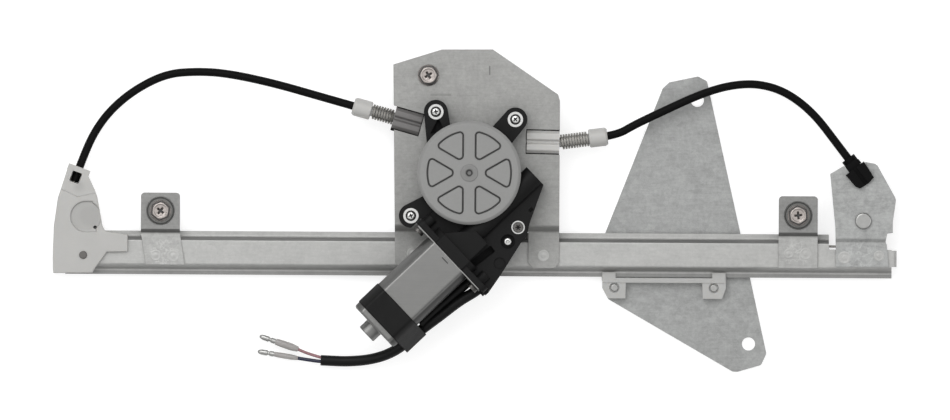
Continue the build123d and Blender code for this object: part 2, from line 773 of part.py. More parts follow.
with BuildPart() as cable_nipples:
    for start in (slider_left + 2.4, slider_right - 2.4 - nipple_length):
        with BuildSketch(Plane.YZ.offset(start)):
            with Locations((cable_y, cable_z)):
                Circle(nipple_radius - 0.05)
                Circle(cable_radius + 0.1, mode=Mode.SUBTRACT)
        extrude(amount=nipple_length)
save(cable_nipples, "cable_nipples")

# Drum housing: an open cup behind the plate, with troughs for the ferrules and three lugs
cup_outer = drum_pitch + drum_lip + drum_cup_gap + drum_wall
trough_half_left = left_ferrule_radius + 1.4
trough_half_right = right_ferrule_radius + 1.4
trough_floor = drum_cable_z - right_ferrule_radius - 1.4
with BuildPart() as drum_housing:
    with BuildSketch(Plane.XY.offset(drum_back)):
        with Locations((drum_x, drum_y)):
            Circle(cup_outer)
    extrude(amount=plate_back - drum_back)
    for ear in ears:
        with BuildSketch(Plane.XY.offset(plate_back)) as lug:
            with Locations(ear):
                Circle(5.2)
            with Locations((drum_x, drum_y)):
                Circle(9.0)
            make_hull()
        extrude(amount=-9)
    for centre, out, length, half, past in (
        (left_ferrule_at, left_out, left_ferrule_length, trough_half_left, 30),
        (right_ferrule_at, right_out, right_ferrule_length, trough_half_right, 26),
    ):
        trough = Plane(origin=flat(centre, trough_floor), x_dir=out, z_dir=(0, 0, 1))
        with BuildSketch(trough):
            with Locations(((length / 2 - past) / 2, 0)):
                Rectangle(length / 2 + past, 2 * half)
        extrude(amount=plate_back - trough_floor - 0.3)
    with BuildSketch(Plane.XY.offset(drum_back + drum_wall)):
        with Locations((drum_x, drum_y)):
            Circle(cup_outer - drum_wall)
    extrude(amount=plate_back, mode=Mode.SUBTRACT)
    for centre, out, length, radius in (
        (left_ferrule_at, left_out, left_ferrule_length, left_ferrule_radius),
        (right_ferrule_at, right_out, right_ferrule_length, right_ferrule_radius),
    ):
        seat = Plane(origin=centre - out * (length / 2), x_dir=(0, 0, 1), z_dir=out)
        with BuildSketch(seat):
            Circle(radius)
            with Locations((radius, 0)):
                Rectangle(2 * radius, 2 * radius)
        extrude(amount=length + 5, mode=Mode.SUBTRACT)
        with BuildSketch(seat):
            Circle(cable_radius + 0.6)
            with Locations((radius, 0)):
                Rectangle(2 * radius, 2 * cable_radius + 1.2)
        extrude(amount=-26, mode=Mode.SUBTRACT)
        with BuildSketch(seat.offset(length / 2 - ferrule_groove / 2 + 0.1)):
            with BuildLine():
                ThreePointArc((0, radius + 0.01), (-radius - 0.01, 0), (0, -radius - 0.01))
                Line((0, -radius - 0.01), (0, -radius + 1.2))
                ThreePointArc((0, -radius + 1.2), (-radius + 1.2, 0), (0, radius - 1.2))
                Line((0, radius - 1.2), (0, radius + 0.01))
            make_face()
        extrude(amount=ferrule_groove - 0.2)
    with Locations((drum_x, drum_y, drum_back + drum_wall)):
        Cylinder(2.6, 1.1, align=base)
    with Locations(*((x, y, plate_back) for x, y in ears)):
        Hole(screw_radius, depth=9)
save(drum_housing, "drum_housing")


# Ferrules, springs and caps: each cap pushes its sheath away from the drum
def ferrule(centre, out, length, radius):
    """A ferrule: a grooved bush below, and two rounded lobes that show through the plate's slot."""
    section = Plane(origin=centre - out * (length / 2), x_dir=out, z_dir=(0, 0, 1))
    small, large = cable_radius + 0.3, stem_radius + 0.25
    near, far = (length - ferrule_groove) / 2, (length + ferrule_groove) / 2
    crown = plate_front + ferrule_rise - centre.Z
    with BuildPart() as bush:
        with BuildSketch(section):
            with BuildLine():
                Polyline(
                    (0, 0), (0, radius - 0.7), (0.7, radius), (near, radius), (near, radius - 1.3),
                    (far, radius - 1.3), (far, radius), (length - 0.7, radius), (length, radius - 0.7),
                    (length, 0), close=True,
                )
            make_face()
        revolve(axis=Axis(centre, out))
        with BuildSketch(Plane(origin=section.origin, x_dir=Vector(0, 0, 1).cross(out), z_dir=out)):
            with BuildLine():
                Polyline(
                    (radius - 0.2, 0.3), (radius - 0.2, crown - 2.6), (radius - 2.2, crown), (1.6, crown),
                    (0.6, crown - 2.4), (-0.6, crown - 2.4), (-1.6, crown), (2.2 - radius, crown),
                    (0.2 - radius, crown - 2.6), (0.2 - radius, 0.3), close=True,
                )
            lobes = make_face()
            fillet(lobes.vertices().group_by(Axis.Y)[-1] + lobes.vertices().group_by(Axis.Y)[-3], 1.0)
        extrude(amount=length)
        with BuildSketch(section):
            with BuildLine():
                Polyline((-1, 0), (-1, small), (3.0, small), (3.0, large), (length + 1, large), (length + 1, 0),
                         close=True)
            make_face()
        revolve(axis=Axis(centre, out), mode=Mode.SUBTRACT)
    return bush.part


def spring(start, out, length):
    """An open coil of squared wire round the axis of a ferrule."""
    middle = spring_radius - spring_wire / 2
    with BuildPart() as coil:
        with BuildLine() as turns:
            Helix(pitch=spring_pitch, height=length - spring_wire - 0.2, radius=middle,
                  center=start + out * (spring_wire / 2 + 0.1), direction=out)
        with BuildSketch(Plane(origin=turns.line @ 0, z_dir=turns.line % 0)):
            Rectangle(spring_wire, spring_wire)
        sweep(is_frenet=True)
    return coil.part


def spring_cap(start, out, spring_length):
    """A cap that seats the sheath, with a stem that runs inside the spring into the ferrule."""
    section = Plane(origin=start, x_dir=out, z_dir=(0, 0, 1))
    with BuildPart() as cap:
        with BuildSketch(section):
            with BuildLine():
                Polyline(
                    (-spring_length - stem_reach, cable_radius + 0.5), (-spring_length - stem_reach, stem_radius),
                    (0, stem_radius), (0, cap_radius - 0.6), (0.6, cap_radius),
                    (cap_length - 1.4, cap_radius), (cap_length, cap_radius - 1.0),
                    (cap_length, sheath_radius), (4.0, sheath_radius), (4.0, cable_radius + 0.5),
                    close=True,
                )
            make_face()
        revolve(axis=Axis(start, out))
    return cap.part


with BuildPart() as left_ferrule:
    add(ferrule(left_ferrule_at, left_out, left_ferrule_length, left_ferrule_radius))
save(left_ferrule, "left_ferrule")

with BuildPart() as right_ferrule:
    add(ferrule(right_ferrule_at, right_out, right_ferrule_length, right_ferrule_radius))
    stem_way = tube([right_mouth - right_lean * 8, right_mouth + right_lean * 3], [], stem_radius + 0.25)
    add(stem_way, mode=Mode.SUBTRACT)
save(right_ferrule, "right_ferrule")

with BuildPart() as left_spring:
    add(spring(left_ferrule_at + left_out * (left_ferrule_length / 2), left_out, left_spring_length))
save(left_spring, "left_spring")

with BuildPart() as right_spring:
    spring_tilt = 0.8
    add(spring(right_mouth + right_lean * spring_tilt, right_lean, right_spring_length - spring_tilt))
save(right_spring, "right_spring")

with BuildPart() as left_spring_cap:
    add(spring_cap(left_cap_at, left_out, left_spring_length))
save(left_spring_cap, "left_spring_cap")

with BuildPart() as right_spring_cap:
    add(spring_cap(right_cap_at, right_lean, right_spring_length))
save(right_spring_cap, "right_spring_cap")

# Cable drum with a row of grooves, and the cable wound on it
drum_rim = drum_pitch + drum_lip
drum_half = drum_grooves * drum_groove_pitch / 2 + 1.2
drum_section = Plane(origin=drum_middle, x_dir=(1, 0, 0), z_dir=(0, -1, 0))
drum_line = Axis((drum_x, drum_y, 0), (0, 0, 1))
groove_floor = drum_pitch - cable_radius - groove_gap
with BuildPart() as cable_drum:
    with BuildSketch(drum_section):
        with Locations(((shaft_radius + 9.5) / 2, 0)):
            Rectangle(9.5 - shaft_radius, 2 * drum_half + 1.0)
        with Locations(((9.5 + groove_floor - 3) / 2, 0)):
            Rectangle(groove_floor - 3 - 9.5, 3.0)
        with Locations(((groove_floor - 3 + drum_rim) / 2, 0)):
            Rectangle(drum_rim - groove_floor + 3, 2 * drum_half)
        for index in range(drum_grooves):
            height = (index - (drum_grooves - 1) / 2) * drum_groove_pitch
            with BuildLine():
                Polyline((drum_rim + 0.1, height - 0.97), (groove_floor, height - 0.7),
                         (groove_floor, height + 0.7), (drum_rim + 0.1, height + 0.97), close=True)
            make_face(mode=Mode.SUBTRACT)
    revolve(axis=drum_line)
    with BuildSketch(Plane.XY.offset(drum_cable_z - 5)):
        with Locations((drum_x, drum_y)):
            with PolarLocations((9.5 + groove_floor - 3) / 2, 5):
                Circle(2.4)
    extrude(amount=10, mode=Mode.SUBTRACT)
save(cable_drum, "cable_drum")

with BuildPart() as drum_windings:
    with BuildSketch(drum_section):
        for index in (0, 1, 4):
            with Locations((drum_pitch - groove_gap, (index - 2) * drum_groove_pitch)):
                RegularPolygon(cable_radius, 8)
    revolve(axis=drum_line)
save(drum_windings, "drum_windings")

# Output shaft with its driver disc, three lugs reaching down into the damper
wheel_pitch_radius = gear_module * wheel_teeth / 2
tooth_tip = 0.9 * gear_module
tooth_root = 1.15 * gear_module
wheel_recess = wheel_pitch_radius - tooth_root - wheel_rim
wheel_low = motor_axis_z - wheel_width / 2
wheel_floor = wheel_low + 2.0
damper_height = 3.4
driver_gauge = 1.5
driver_low = wheel_floor + damper_height + 0.4
lug_place, lug_width = 15.5, 4.4
with BuildPart(Plane.XY.offset(drum_cable_z - drum_half - 0.5)) as output_shaft:
    with Locations((drum_x, drum_y)):
        Cylinder(shaft_radius, cover_base - 0.6 - (drum_cable_z - drum_half - 0.5), align=base)
    with BuildSketch(Plane.XY.offset(driver_low)):
        with Locations((drum_x, drum_y)):
            Circle(wheel_recess - 0.9)
            with PolarLocations(lug_place, 3, start_angle=90):
                Circle(2.6, mode=Mode.SUBTRACT)
    extrude(amount=driver_gauge)
    with BuildSketch(Plane.XY.offset(driver_low)):
        with Locations((drum_x, drum_y)):
            with PolarLocations(lug_place, 3, start_angle=30):
                Rectangle(9.0, lug_width)
    extrude(amount=-damper_height)
save(output_shaft, "output_shaft")

with BuildPart() as rubber_damper:
    with BuildSketch(Plane.XY.offset(wheel_floor + 0.1)):
        with Locations((drum_x, drum_y)):
            Circle(wheel_recess - 0.2)
            Circle(8.4, mode=Mode.SUBTRACT)
            with PolarLocations(lug_place, 3, start_angle=30):
                Rectangle(9.6, lug_width + 0.4, mode=Mode.SUBTRACT)
            with PolarLocations(lug_place, 3, start_angle=90):
                Circle(2.4, mode=Mode.SUBTRACT)
    extrude(amount=damper_height)
save(rubber_damper, "rubber_damper")

# Worm and wheel. The wheel's teeth lean along the worm's thread and stand in mesh at rest.
worm_pitch = gear_module * pi
thread_slope = worm_pitch / (2 * pi * worm_pitch_radius)
centre_distance = wheel_pitch_radius + worm_pitch_radius
along = polar(motor_angle)
across = polar(motor_angle + 90)
motor_foot = Vector(drum_x, drum_y, motor_axis_z) - across * centre_distance
motor_plan = Plane(origin=motor_foot, x_dir=along, z_dir=(0, 0, 1))
motor_line = Plane(origin=motor_foot, x_dir=across, z_dir=along)
housing_screw_places = ((-1.25, -17.1, 4.3), (-12.3, -19.2, 2.8))
housing_screw_seat = motor_axis_z - 4.0
housing_screw_head = 3.4
tooth_half = (worm_pitch - tooth_backlash) / 4
flank = tan(radians(20))


def beside_motor(s, t, z=0.0):
    """A point by its place along and across the motor's axis, and its height."""
    return flat(motor_foot + along * s + across * t, z)


def wheel_section(height):
    """The toothed outline of the worm wheel at a height from its middle."""
    turn = degrees(thread_slope * height / wheel_pitch_radius)
    towards_worm = Plane(
        origin=Vector(drum_x, drum_y, motor_axis_z + height),
        x_dir=polar(motor_angle - 90 + turn),
        z_dir=(0, 0, 1),
    )
    step = 360 / wheel_teeth
    with BuildSketch(towards_worm) as section:
        with BuildLine():
            points = []
            for tooth in range(wheel_teeth):
                middle = radians((tooth + 0.5) * step)
                for radius, side in (
                    (wheel_pitch_radius - tooth_root, -1),
                    (wheel_pitch_radius + tooth_tip, -1),
                    (wheel_pitch_radius + tooth_tip, 1),
                    (wheel_pitch_radius - tooth_root, 1),
                ):
                    half = tooth_half - (radius - wheel_pitch_radius) * flank
                    angle = middle + side * half / radius
                    points.append((radius * cos(angle), radius * sin(angle)))
            Polyline(*points, close=True)
        make_face()
    return section.sketch


with BuildPart() as worm_wheel:
    loft([wheel_section(-wheel_width / 2).face(), wheel_section(wheel_width / 2).face()], ruled=True)
    with BuildSketch(Plane.XY.offset(wheel_floor)):
        with Locations((drum_x, drum_y)):
            Circle(wheel_recess)
            Circle(8.2, mode=Mode.SUBTRACT)
    extrude(amount=wheel_width, mode=Mode.SUBTRACT)
    with BuildSketch(Plane.XY.offset(wheel_low + wheel_width)):
        with Locations((drum_x, drum_y)):
            Circle(wheel_recess)
    extrude(amount=-(wheel_low + wheel_width - driver_low + 0.2), mode=Mode.SUBTRACT)
    with Locations((drum_x, drum_y, wheel_low)):
        Cylinder(shaft_radius + running_gap, wheel_width, align=base, mode=Mode.SUBTRACT)
save(worm_wheel, "worm_wheel")

with BuildPart() as armature_shaft:
    with BuildSketch(motor_line.offset(boss_end_s + 1.6)):
        Circle(armature_radius)
    extrude(amount=tower_s - 2.6 - boss_end_s - 1.6)
    thread_length = worm_turns * worm_pitch
    with BuildSketch(motor_line.offset(-thread_length / 2 - 2.5)):
        Circle(worm_pitch_radius - tooth_root)
    extrude(amount=thread_length + 5)
    with BuildLine() as thread:
        Helix(pitch=worm_pitch, height=thread_length, radius=worm_pitch_radius,
              center=motor_foot - along * (thread_length / 2), direction=along)
    start = thread.line @ 0
    outwards = (start - motor_foot) - along * (start - motor_foot).dot(along)
    with BuildSketch(Plane(origin=start, x_dir=outwards, z_dir=thread.line % 0)):
        deep, high = tooth_root + 0.15, tooth_tip
        with BuildLine():
            Polyline(
                (-deep, -tooth_half - deep * flank), (high, -tooth_half + high * flank),
                (high, tooth_half - high * flank), (-deep, tooth_half + deep * flank), close=True,
            )
        make_face()
    sweep(path=thread.line, is_frenet=True)
save(armature_shaft, "armature_shaft")

# Rotor: slotted core, windings in its slots and the commutator
core_front, core_back = -64.0, -98.0
rotor_radius = 11.0
rotor_slots = 8
with BuildPart() as rotor_core:
    with BuildSketch(motor_line.offset(core_back)):
        Circle(rotor_radius)
        Circle(armature_radius, mode=Mode.SUBTRACT)
        with PolarLocations(7.6, rotor_slots):
            RectangleRounded(4.6, 3.4, 0.8, mode=Mode.SUBTRACT)
        with PolarLocations(10.5, rotor_slots):
            Rectangle(3.0, 1.3, mode=Mode.SUBTRACT)
    extrude(amount=core_front - core_back)
save(rotor_core, "rotor_core")

with BuildPart() as rotor_windings:
    with BuildSketch(motor_line.offset(core_back - 4)):
        Circle(9.9)
        Circle(armature_radius + 0.3, mode=Mode.SUBTRACT)
    extrude(amount=3.9)
    with BuildSketch(motor_line.offset(core_front + 0.1)):
        Circle(9.9)
        Circle(armature_radius + 0.3, mode=Mode.SUBTRACT)
    extrude(amount=3.9)
    with BuildSketch(motor_line.offset(core_back - 0.2)):
        with PolarLocations(7.6, rotor_slots):
            RectangleRounded(4.2, 3.0, 0.7)
    extrude(amount=core_front - core_back + 0.4)
save(rotor_windings, "rotor_windings")

with BuildPart() as commutator:
    with BuildSketch(motor_line.offset(-58)):
        Circle(5.2)
        Circle(armature_radius, mode=Mode.SUBTRACT)
        with PolarLocations(5.0, rotor_slots, start_angle=22.5):
            Rectangle(1.2, 0.5, mode=Mode.SUBTRACT)
    extrude(amount=9.5)
save(commutator, "commutator")


def can_section(inset):
    """The motor can's section, a circle with two flats, with its corners eased."""
    with BuildSketch() as section:
        Circle(can_radius - inset)
        Rectangle(3 * can_radius, can_flats - 2 * inset, mode=Mode.INTERSECT)
        fillet(section.vertices(), 2.2 - inset)
    return section.sketch


# Motor can: a flattened steel cup with two ears, its bearings, magnets and brush gear
with BuildPart() as motor_can:
    with BuildSketch(motor_line.offset(flange_s)):
        add(can_section(0))
    extrude(amount=can_end_s - flange_s)
    fillet(motor_can.faces().sort_by(Axis(motor_foot, along))[0].edges(), 1.8)
    with BuildSketch(motor_line.offset(can_end_s)):
        Circle(boss_radius)
    extrude(amount=boss_end_s - can_end_s)
    fillet(motor_can.faces().sort_by(Axis(motor_foot, along))[0].edges(), 0.8)
    with BuildSketch(motor_line.offset(flange_s)):
        with Locations((can_screw_t, 0), (-can_screw_t, 0)):
            Circle(can_ear_radius)
        make_hull()
    extrude(amount=-can_wall)
    with BuildSketch(motor_line.offset(flange_s)):
        add(can_section(can_wall))
    extrude(amount=can_end_s + can_wall - flange_s, mode=Mode.SUBTRACT)
    with BuildSketch(motor_line.offset(flange_s)):
        Circle(boss_radius - can_wall)
    extrude(amount=boss_end_s + 0.8 - flange_s, mode=Mode.SUBTRACT)
    with BuildSketch(motor_line.offset(flange_s)):
        with Locations((can_screw_t, 0), (-can_screw_t, 0)):
            Circle(2.0)
    extrude(amount=-can_wall, mode=Mode.SUBTRACT)
save(motor_can, "motor_can")

with BuildPart() as can_screws:
    for side in (-1, 1):
        with BuildSketch(motor_line.offset(flange_s - can_wall)):
            with Locations((side * can_screw_t, 0)):
                Circle(3.6)
        extrude(amount=-2.4)
        with BuildSketch(motor_line.offset(flange_s - can_wall)):
            with Locations((side * can_screw_t, 0)):
                Circle(2.0)
        extrude(amount=can_wall + 8)
save(can_screws, "can_screws")

lead_under_tape = ((-22.3, -12.2), (-21.4, -18.6))


def tape_section(inset):
    """The outline of the tape round the can and the lead beside it."""
    with BuildSketch() as section:
        add(can_section(-inset))
        with Locations(*lead_under_tape):
            Circle(sleeve_radius + inset + 0.3)
        make_hull()
    return section.sketch


with BuildPart() as tape_wrap:
    with BuildSketch(motor_line.offset(tape_from)):
        add(tape_section(tape_gauge + 0.25))
        add(tape_section(0.25), mode=Mode.SUBTRACT)
    extrude(amount=-tape_length)
save(tape_wrap, "tape_wrap")

with BuildPart() as magnets:
    with BuildSketch(motor_line.offset(-63)):
        Circle(can_radius - can_wall)
        Circle(rotor_radius + 0.6, mode=Mode.SUBTRACT)
        with Locations((0, can_radius), (0, -can_radius)):
            Rectangle(2 * can_radius, 2 * can_radius - 21, mode=Mode.SUBTRACT)
    extrude(amount=-36)
save(magnets, "magnets")

with BuildPart() as shaft_bearings:
    with BuildSketch(motor_line.offset(boss_end_s + 1.4)):
        Circle(boss_radius - can_wall)
        Circle(armature_radius + 0.04, mode=Mode.SUBTRACT)
    extrude(amount=5.5)
    with BuildSketch(motor_line.offset(tower_s - 9)):
        Circle(boss_radius - can_wall)
        Circle(armature_radius + 0.04, mode=Mode.SUBTRACT)
    extrude(amount=6)
save(shaft_bearings, "shaft_bearings")

with BuildPart() as brush_card:
    with BuildSketch(motor_line.offset(-50.4)):
        Circle(can_radius - can_wall - 0.3)
        Rectangle(2 * can_radius, can_flats - 2 * can_wall - 0.4, mode=Mode.INTERSECT)
        Circle(6.2, mode=Mode.SUBTRACT)
    extrude(amount=2.0)
    for side in (-1, 1):
        with BuildSketch(motor_line.offset(-50.4)):
            with Locations((side * 10.5, 0)):
                Rectangle(7.0, 6.2)
        extrude(amount=-5.6)
        with BuildSketch(motor_line.offset(-51.0)):
            with Locations((side * 9.8, 0)):
                Rectangle(7.0, 4.1)
        extrude(amount=-4.1, mode=Mode.SUBTRACT)
save(brush_card, "brush_card")

with BuildPart() as brushes:
    for side in (-1, 1):
        with BuildSketch(motor_line.offset(-51.05)):
            with Locations((side * 9.2, 0)):
                Rectangle(7.6, 4.0)
        extrude(amount=-4.0)
save(brushes, "brushes")

# Gearbox housing, with its cover
lead_t, lead_z = -28.8, 28.45
lead_frame = Plane(origin=beside_motor(flange_s, lead_t, lead_z), x_dir=across, z_dir=-along)
shoulder = (
    (tower_s, 4.7), (tower_s, -8.5), (6.5, -19.9), (-1.0, -25.0), (-6.9, -25.6), (-30.3, -31.6),
    (-43.5, -34.4), (flange_s, -34.4), (flange_s, 28.7), (-30.0, 27.0), (0.0, 20.0),
)
with BuildPart() as gearbox_housing:
    with BuildSketch(Plane.XY.offset(plate_front)):
        with Locations((drum_x, drum_y)):
            Circle(cover_radius - 1.2)
    extrude(amount=cover_base - plate_front)
    with BuildSketch(motor_plan.offset(plate_front - motor_axis_z)):
        with BuildLine():
            Polyline(*shoulder, close=True)
        make_face()
    extrude(amount=motor_axis_z - plate_front)
    for ear, root in zip(ears, ear_roots):
        with BuildSketch(Plane.XY.offset(plate_front)):
            with Locations(ear):
                Circle(ear_radius)
            with Locations(root):
                Circle(ear_root_radius)
            make_hull()
        extrude(amount=ear_top - plate_front)
    # A pocket in the first arm, between the screw and the wheel's chamber
    arm = Vector(*ear_roots[0]) - Vector(*ears[0])
    pocket_place = Vector(*ears[0]) + arm.normalized() * (ear_radius + 2.6)
    with BuildSketch(Plane.XY.offset(ear_top)):
        with Locations(Location(pocket_place, (0, 0, degrees(atan2(arm.Y, arm.X))))):
            Triangle(c=2 * ear_radius - 4.0, a=9.4, B=56, rotation=90)
    extrude(amount=-7.0, mode=Mode.SUBTRACT)
    # Room for the can's ears beside the nearest ear
    with BuildSketch(motor_plan.offset(-20)):
        with Locations((flange_s - 5, 0)):
            Rectangle(10, 2 * (can_screw_t + can_ear_radius + 0.3))
    extrude(amount=40, mode=Mode.SUBTRACT)
    with BuildSketch(motor_line.offset(flange_s)):
        Circle(tunnel_radius)
    extrude(amount=tower_s - flange_s)
    with BuildSketch(motor_line.offset(flange_s)):
        Circle(can_radius)
        Rectangle(2 * can_radius, can_flats + 2, mode=Mode.INTERSECT)
    extrude(amount=8.0)
    with BuildSketch(motor_line.offset(flange_s)):
        with Locations((-1.2, 0)):
            RectangleRounded(62.0, 26.0, 4.0)
    extrude(amount=4.0)
    # Bosses round the two screws that hold the can
    with BuildSketch(motor_line.offset(flange_s)):
        with Locations((can_screw_t, 0), (-can_screw_t, 0)):
            Circle(3.6)
    extrude(amount=9.6)
    with BuildSketch(motor_plan.offset(0)):
        with BuildLine():
            Polyline((-40.0, 14.3), (-40.0, -11.1), (-22.8, -11.1), (-22.5, 0.0), close=True)
        make_face()
    extrude(amount=9.5)
    # The wheel's chamber, the worm's tunnel and the room for the brush gear
    with BuildSketch(Plane.XY.offset(wheel_low - 1.0)):
        with Locations((drum_x, drum_y)):
            Circle(wheel_pitch_radius + 2.2)
    extrude(amount=20, mode=Mode.SUBTRACT)
    with BuildSketch(motor_line.offset(flange_s)):
        Circle(5.4)
    extrude(amount=tower_s - 9 - flange_s, mode=Mode.SUBTRACT)
    with BuildSketch(motor_line.offset(flange_s)):
        Circle(boss_radius - can_wall)
    extrude(amount=tower_s - 2 - flange_s, mode=Mode.SUBTRACT)
    with BuildSketch(motor_line.offset(flange_s)):
        Circle(can_radius - 3.0)
        Rectangle(2 * can_radius, can_flats - 5, mode=Mode.INTERSECT)
    extrude(amount=5.0, mode=Mode.SUBTRACT)
    # The boss round the output shaft, through the plate
    with BuildSketch(Plane.XY.offset(plate_front)):
        with Locations((drum_x, drum_y)):
            Circle(13.0)
    extrude(amount=-2.6)
    with BuildSketch(Plane.XY.offset(plate_back - 2)):
        with Locations((drum_x, drum_y)):
            Circle(shaft_radius + running_gap)
    extrude(amount=20, mode=Mode.SUBTRACT)
    with BuildSketch(Plane.XY.offset(plate_front)):
        with Locations(*ears):
            Circle(sleeve_rim + 0.1)
    extrude(amount=20, mode=Mode.SUBTRACT)
    # The deep slot beside the brush gear, a round sink and a drain through the shoulder
    with BuildSketch(motor_plan):
        with Locations(Location((-31.2, -14.9), -6)):
            RectangleRounded(18.0, 4.8, 0.8)
    extrude(amount=-8.0, mode=Mode.SUBTRACT)
    with BuildSketch(motor_plan):
        with Locations((-25.7, -25.7)):
            Circle(3.7)
    extrude(amount=-1.2, mode=Mode.SUBTRACT)
    with BuildSketch(motor_plan):
        with Locations((12.5, -14.6)):
            RectangleRounded(3.0, 1.8, 0.6)
    extrude(amount=-20.0, mode=Mode.SUBTRACT)
    with BuildSketch(motor_line.offset(flange_s)):
        with Locations((can_screw_t, 0), (-can_screw_t, 0)):
            Circle(2.0)
    extrude(amount=9.0, mode=Mode.SUBTRACT)
    # Sunk seats for the two screws that close the housing, and the lead's way out
    with Locations(*(flat(beside_motor(s, t), motor_axis_z) for s, t, _ in housing_screw_places)):
        CounterBoreHole(1.6, 4.6, motor_axis_z - housing_screw_seat, depth=motor_axis_z - housing_screw_seat + 9.5)
    with BuildSketch(lead_frame):
        Circle(sleeve_radius + 1.2)
    extrude(amount=-6.0, mode=Mode.SUBTRACT)
save(gearbox_housing, "gearbox_housing")

with BuildSketch() as pocket:
    with BuildLine():
        apex, reach = 7.0, 60.0
        rise = reach * sin(radians(30))
        Polyline((apex, 0), (apex + reach * cos(radians(30)), rise), (apex + reach * cos(radians(30)), -rise),
                 close=True)
    make_face()
    Circle(27.3, mode=Mode.INTERSECT)
    Circle(10.0, mode=Mode.SUBTRACT)
    fillet(pocket.vertices(), 2.6)
with BuildSketch() as pocket_floor:
    add(pocket.sketch)
    offset(amount=-1.0, mode=Mode.REPLACE)
with BuildPart() as gear_cover:
    with BuildSketch(Plane.XY.offset(cover_base)):
        with Locations((drum_x, drum_y)):
            Circle(cover_radius)
    extrude(amount=cover_top - cover_base)
    chamfer(gear_cover.faces().sort_by(Axis.Z)[-1].edges(), 1.8)
    with BuildSketch(Plane.XY.offset(cover_top)):
        with Locations((drum_x, drum_y)):
            with PolarLocations(0, 6):
                add(pocket.sketch)
            Circle(2.3)
    extrude(amount=-0.5, mode=Mode.SUBTRACT)
    with BuildSketch(Plane.XY.offset(cover_top)):
        with Locations((drum_x, drum_y)):
            with PolarLocations(0, 6):
                add(pocket.sketch)
                add(pocket_floor.sketch, mode=Mode.SUBTRACT)
            Circle(1.6)
    extrude(amount=-1.7, mode=Mode.SUBTRACT)
    with BuildSketch(Plane.XY.offset(cover_top)):
        with Locations((drum_x, drum_y)):
            Circle(5.4)
            Circle(2.3, mode=Mode.SUBTRACT)
    extrude(amount=0.5)
save(gear_cover, "gear_cover")

# Screws through the ears, sunk in metal sleeves, and the two that close the housing
screw_seat = ear_top - 2.0
with BuildPart() as screw_sleeves:
    for ear in ears:
        with BuildSketch(Plane.XY.offset(plate_front)):
            with Locations(ear):
                Circle(sleeve_rim)
                Circle(screw_radius, mode=Mode.SUBTRACT)
        extrude(amount=ear_top + 0.4 - plate_front)
        with BuildSketch(Plane.XY.offset(screw_seat)):
            with Locations(ear):
                Circle(screw_head_radius + 0.4)
        extrude(amount=5, mode=Mode.SUBTRACT)
save(screw_sleeves, "screw_sleeves")

with BuildPart() as motor_screws:
    for ear in ears:
        with Locations(flat(ear, screw_seat)):
            Cylinder(screw_head_radius, screw_head, align=base)
            Cylinder(screw_radius, screw_seat - plate_back + 8, align=hanging)
    chamfer(motor_screws.faces().group_by(Axis.Z)[-1].edges(), 0.6)
    for ear in ears:
        with BuildSketch(Plane.XY.offset(screw_seat + screw_head)):
            with Locations(ear):
                Rectangle(3.4, 0.9)
                Rectangle(0.9, 3.4)
        extrude(amount=-1.5, mode=Mode.SUBTRACT)
save(motor_screws, "motor_screws")

with BuildPart() as housing_screws:
    for s, t, head in housing_screw_places:
        with Locations(flat(beside_motor(s, t), housing_screw_seat)):
            Cylinder(head, housing_screw_head, align=base)
            Cylinder(1.6, 9.0, align=hanging)
    chamfer(housing_screws.faces().group_by(Axis.Z)[-1].edges(), 0.5)
    for s, t, head in housing_screw_places:
        with BuildSketch(Plane.XY.offset(housing_screw_seat + housing_screw_head)):
            with Locations(flat(beside_motor(s, t))):
                RegularPolygon(head * 0.55, 6)
        extrude(amount=-1.8, mode=Mode.SUBTRACT)
save(housing_screws, "housing_screws")

# Motor lead: out of the housing's corner, along the can, then down to just above the ground
lead_route = [
    beside_motor(flange_s + 5.5, lead_t, lead_z),
    beside_motor(-57.0, lead_t, lead_z),
    beside_motor(-70.0, -25.9, 28.2),
    beside_motor(-82.5, -23.6, 27.2),
    beside_motor(-95.5, -21.9, 24.6),
    Vector(-47.0, -88.2, 19.0),
    Vector(-56.6, -93.4, 13.0),
    Vector(-68.0, -96.4, 8.6),
    Vector(-81.0, -97.4, 6.2),
    Vector(-92.0, -96.8, 5.8),
]
with BuildPart() as lead_sleeve:
    add(tube(lead_route, corner_radii(lead_route), sleeve_radius))
save(lead_sleeve, "lead_sleeve")

with BuildPart() as lead_grommet:
    with BuildSketch(lead_frame.offset(-6.0)):
        Circle(sleeve_radius + 1.2)
        Circle(sleeve_radius, mode=Mode.SUBTRACT)
    extrude(amount=7.6)
    with BuildSketch(lead_frame):
        Circle(sleeve_radius + 1.5)
        Circle(sleeve_radius, mode=Mode.SUBTRACT)
    extrude(amount=1.6)
save(lead_grommet, "lead_grommet")

lead_end = lead_route[-1]
lead_out = (lead_end - lead_route[-2]).normalized()
lead_side = Vector(-lead_out.Y, lead_out.X, 0).normalized()
upper_start = lead_end - lead_side * 1.4
lower_start = lead_end + lead_side * 1.2
upper_route = [
    upper_start,
    upper_start + lead_out * 6.8,
    upper_start + Vector(-14.2, 3.6, -1.4),
    upper_start + Vector(-21.0, 6.4, -1.6),
]
lower_route = [
    lower_start,
    lower_start + lead_out * 7.0,
    lower_start + Vector(-14.6, 1.3, -1.5),
    lower_start + Vector(-21.6, 2.8, -1.6),
]
with BuildPart() as upper_wire:
    add(tube(upper_route, corner_radii(upper_route), wire_radius))
save(upper_wire, "upper_wire")

with BuildPart() as lower_wire:
    add(tube(lower_route, corner_radii(lower_route), wire_radius))
save(lower_wire, "lower_wire")

wire_ends = [(route[-1], (route[-1] - route[-2]).normalized()) for route in (upper_route, lower_route)]
with BuildPart() as terminal_boots:
    for wire_end, out in wire_ends:
        with BuildSketch(Plane(origin=wire_end, z_dir=out)):
            Circle(boot_radius)
        extrude(amount=boot_length)
save(terminal_boots, "terminal_boots")

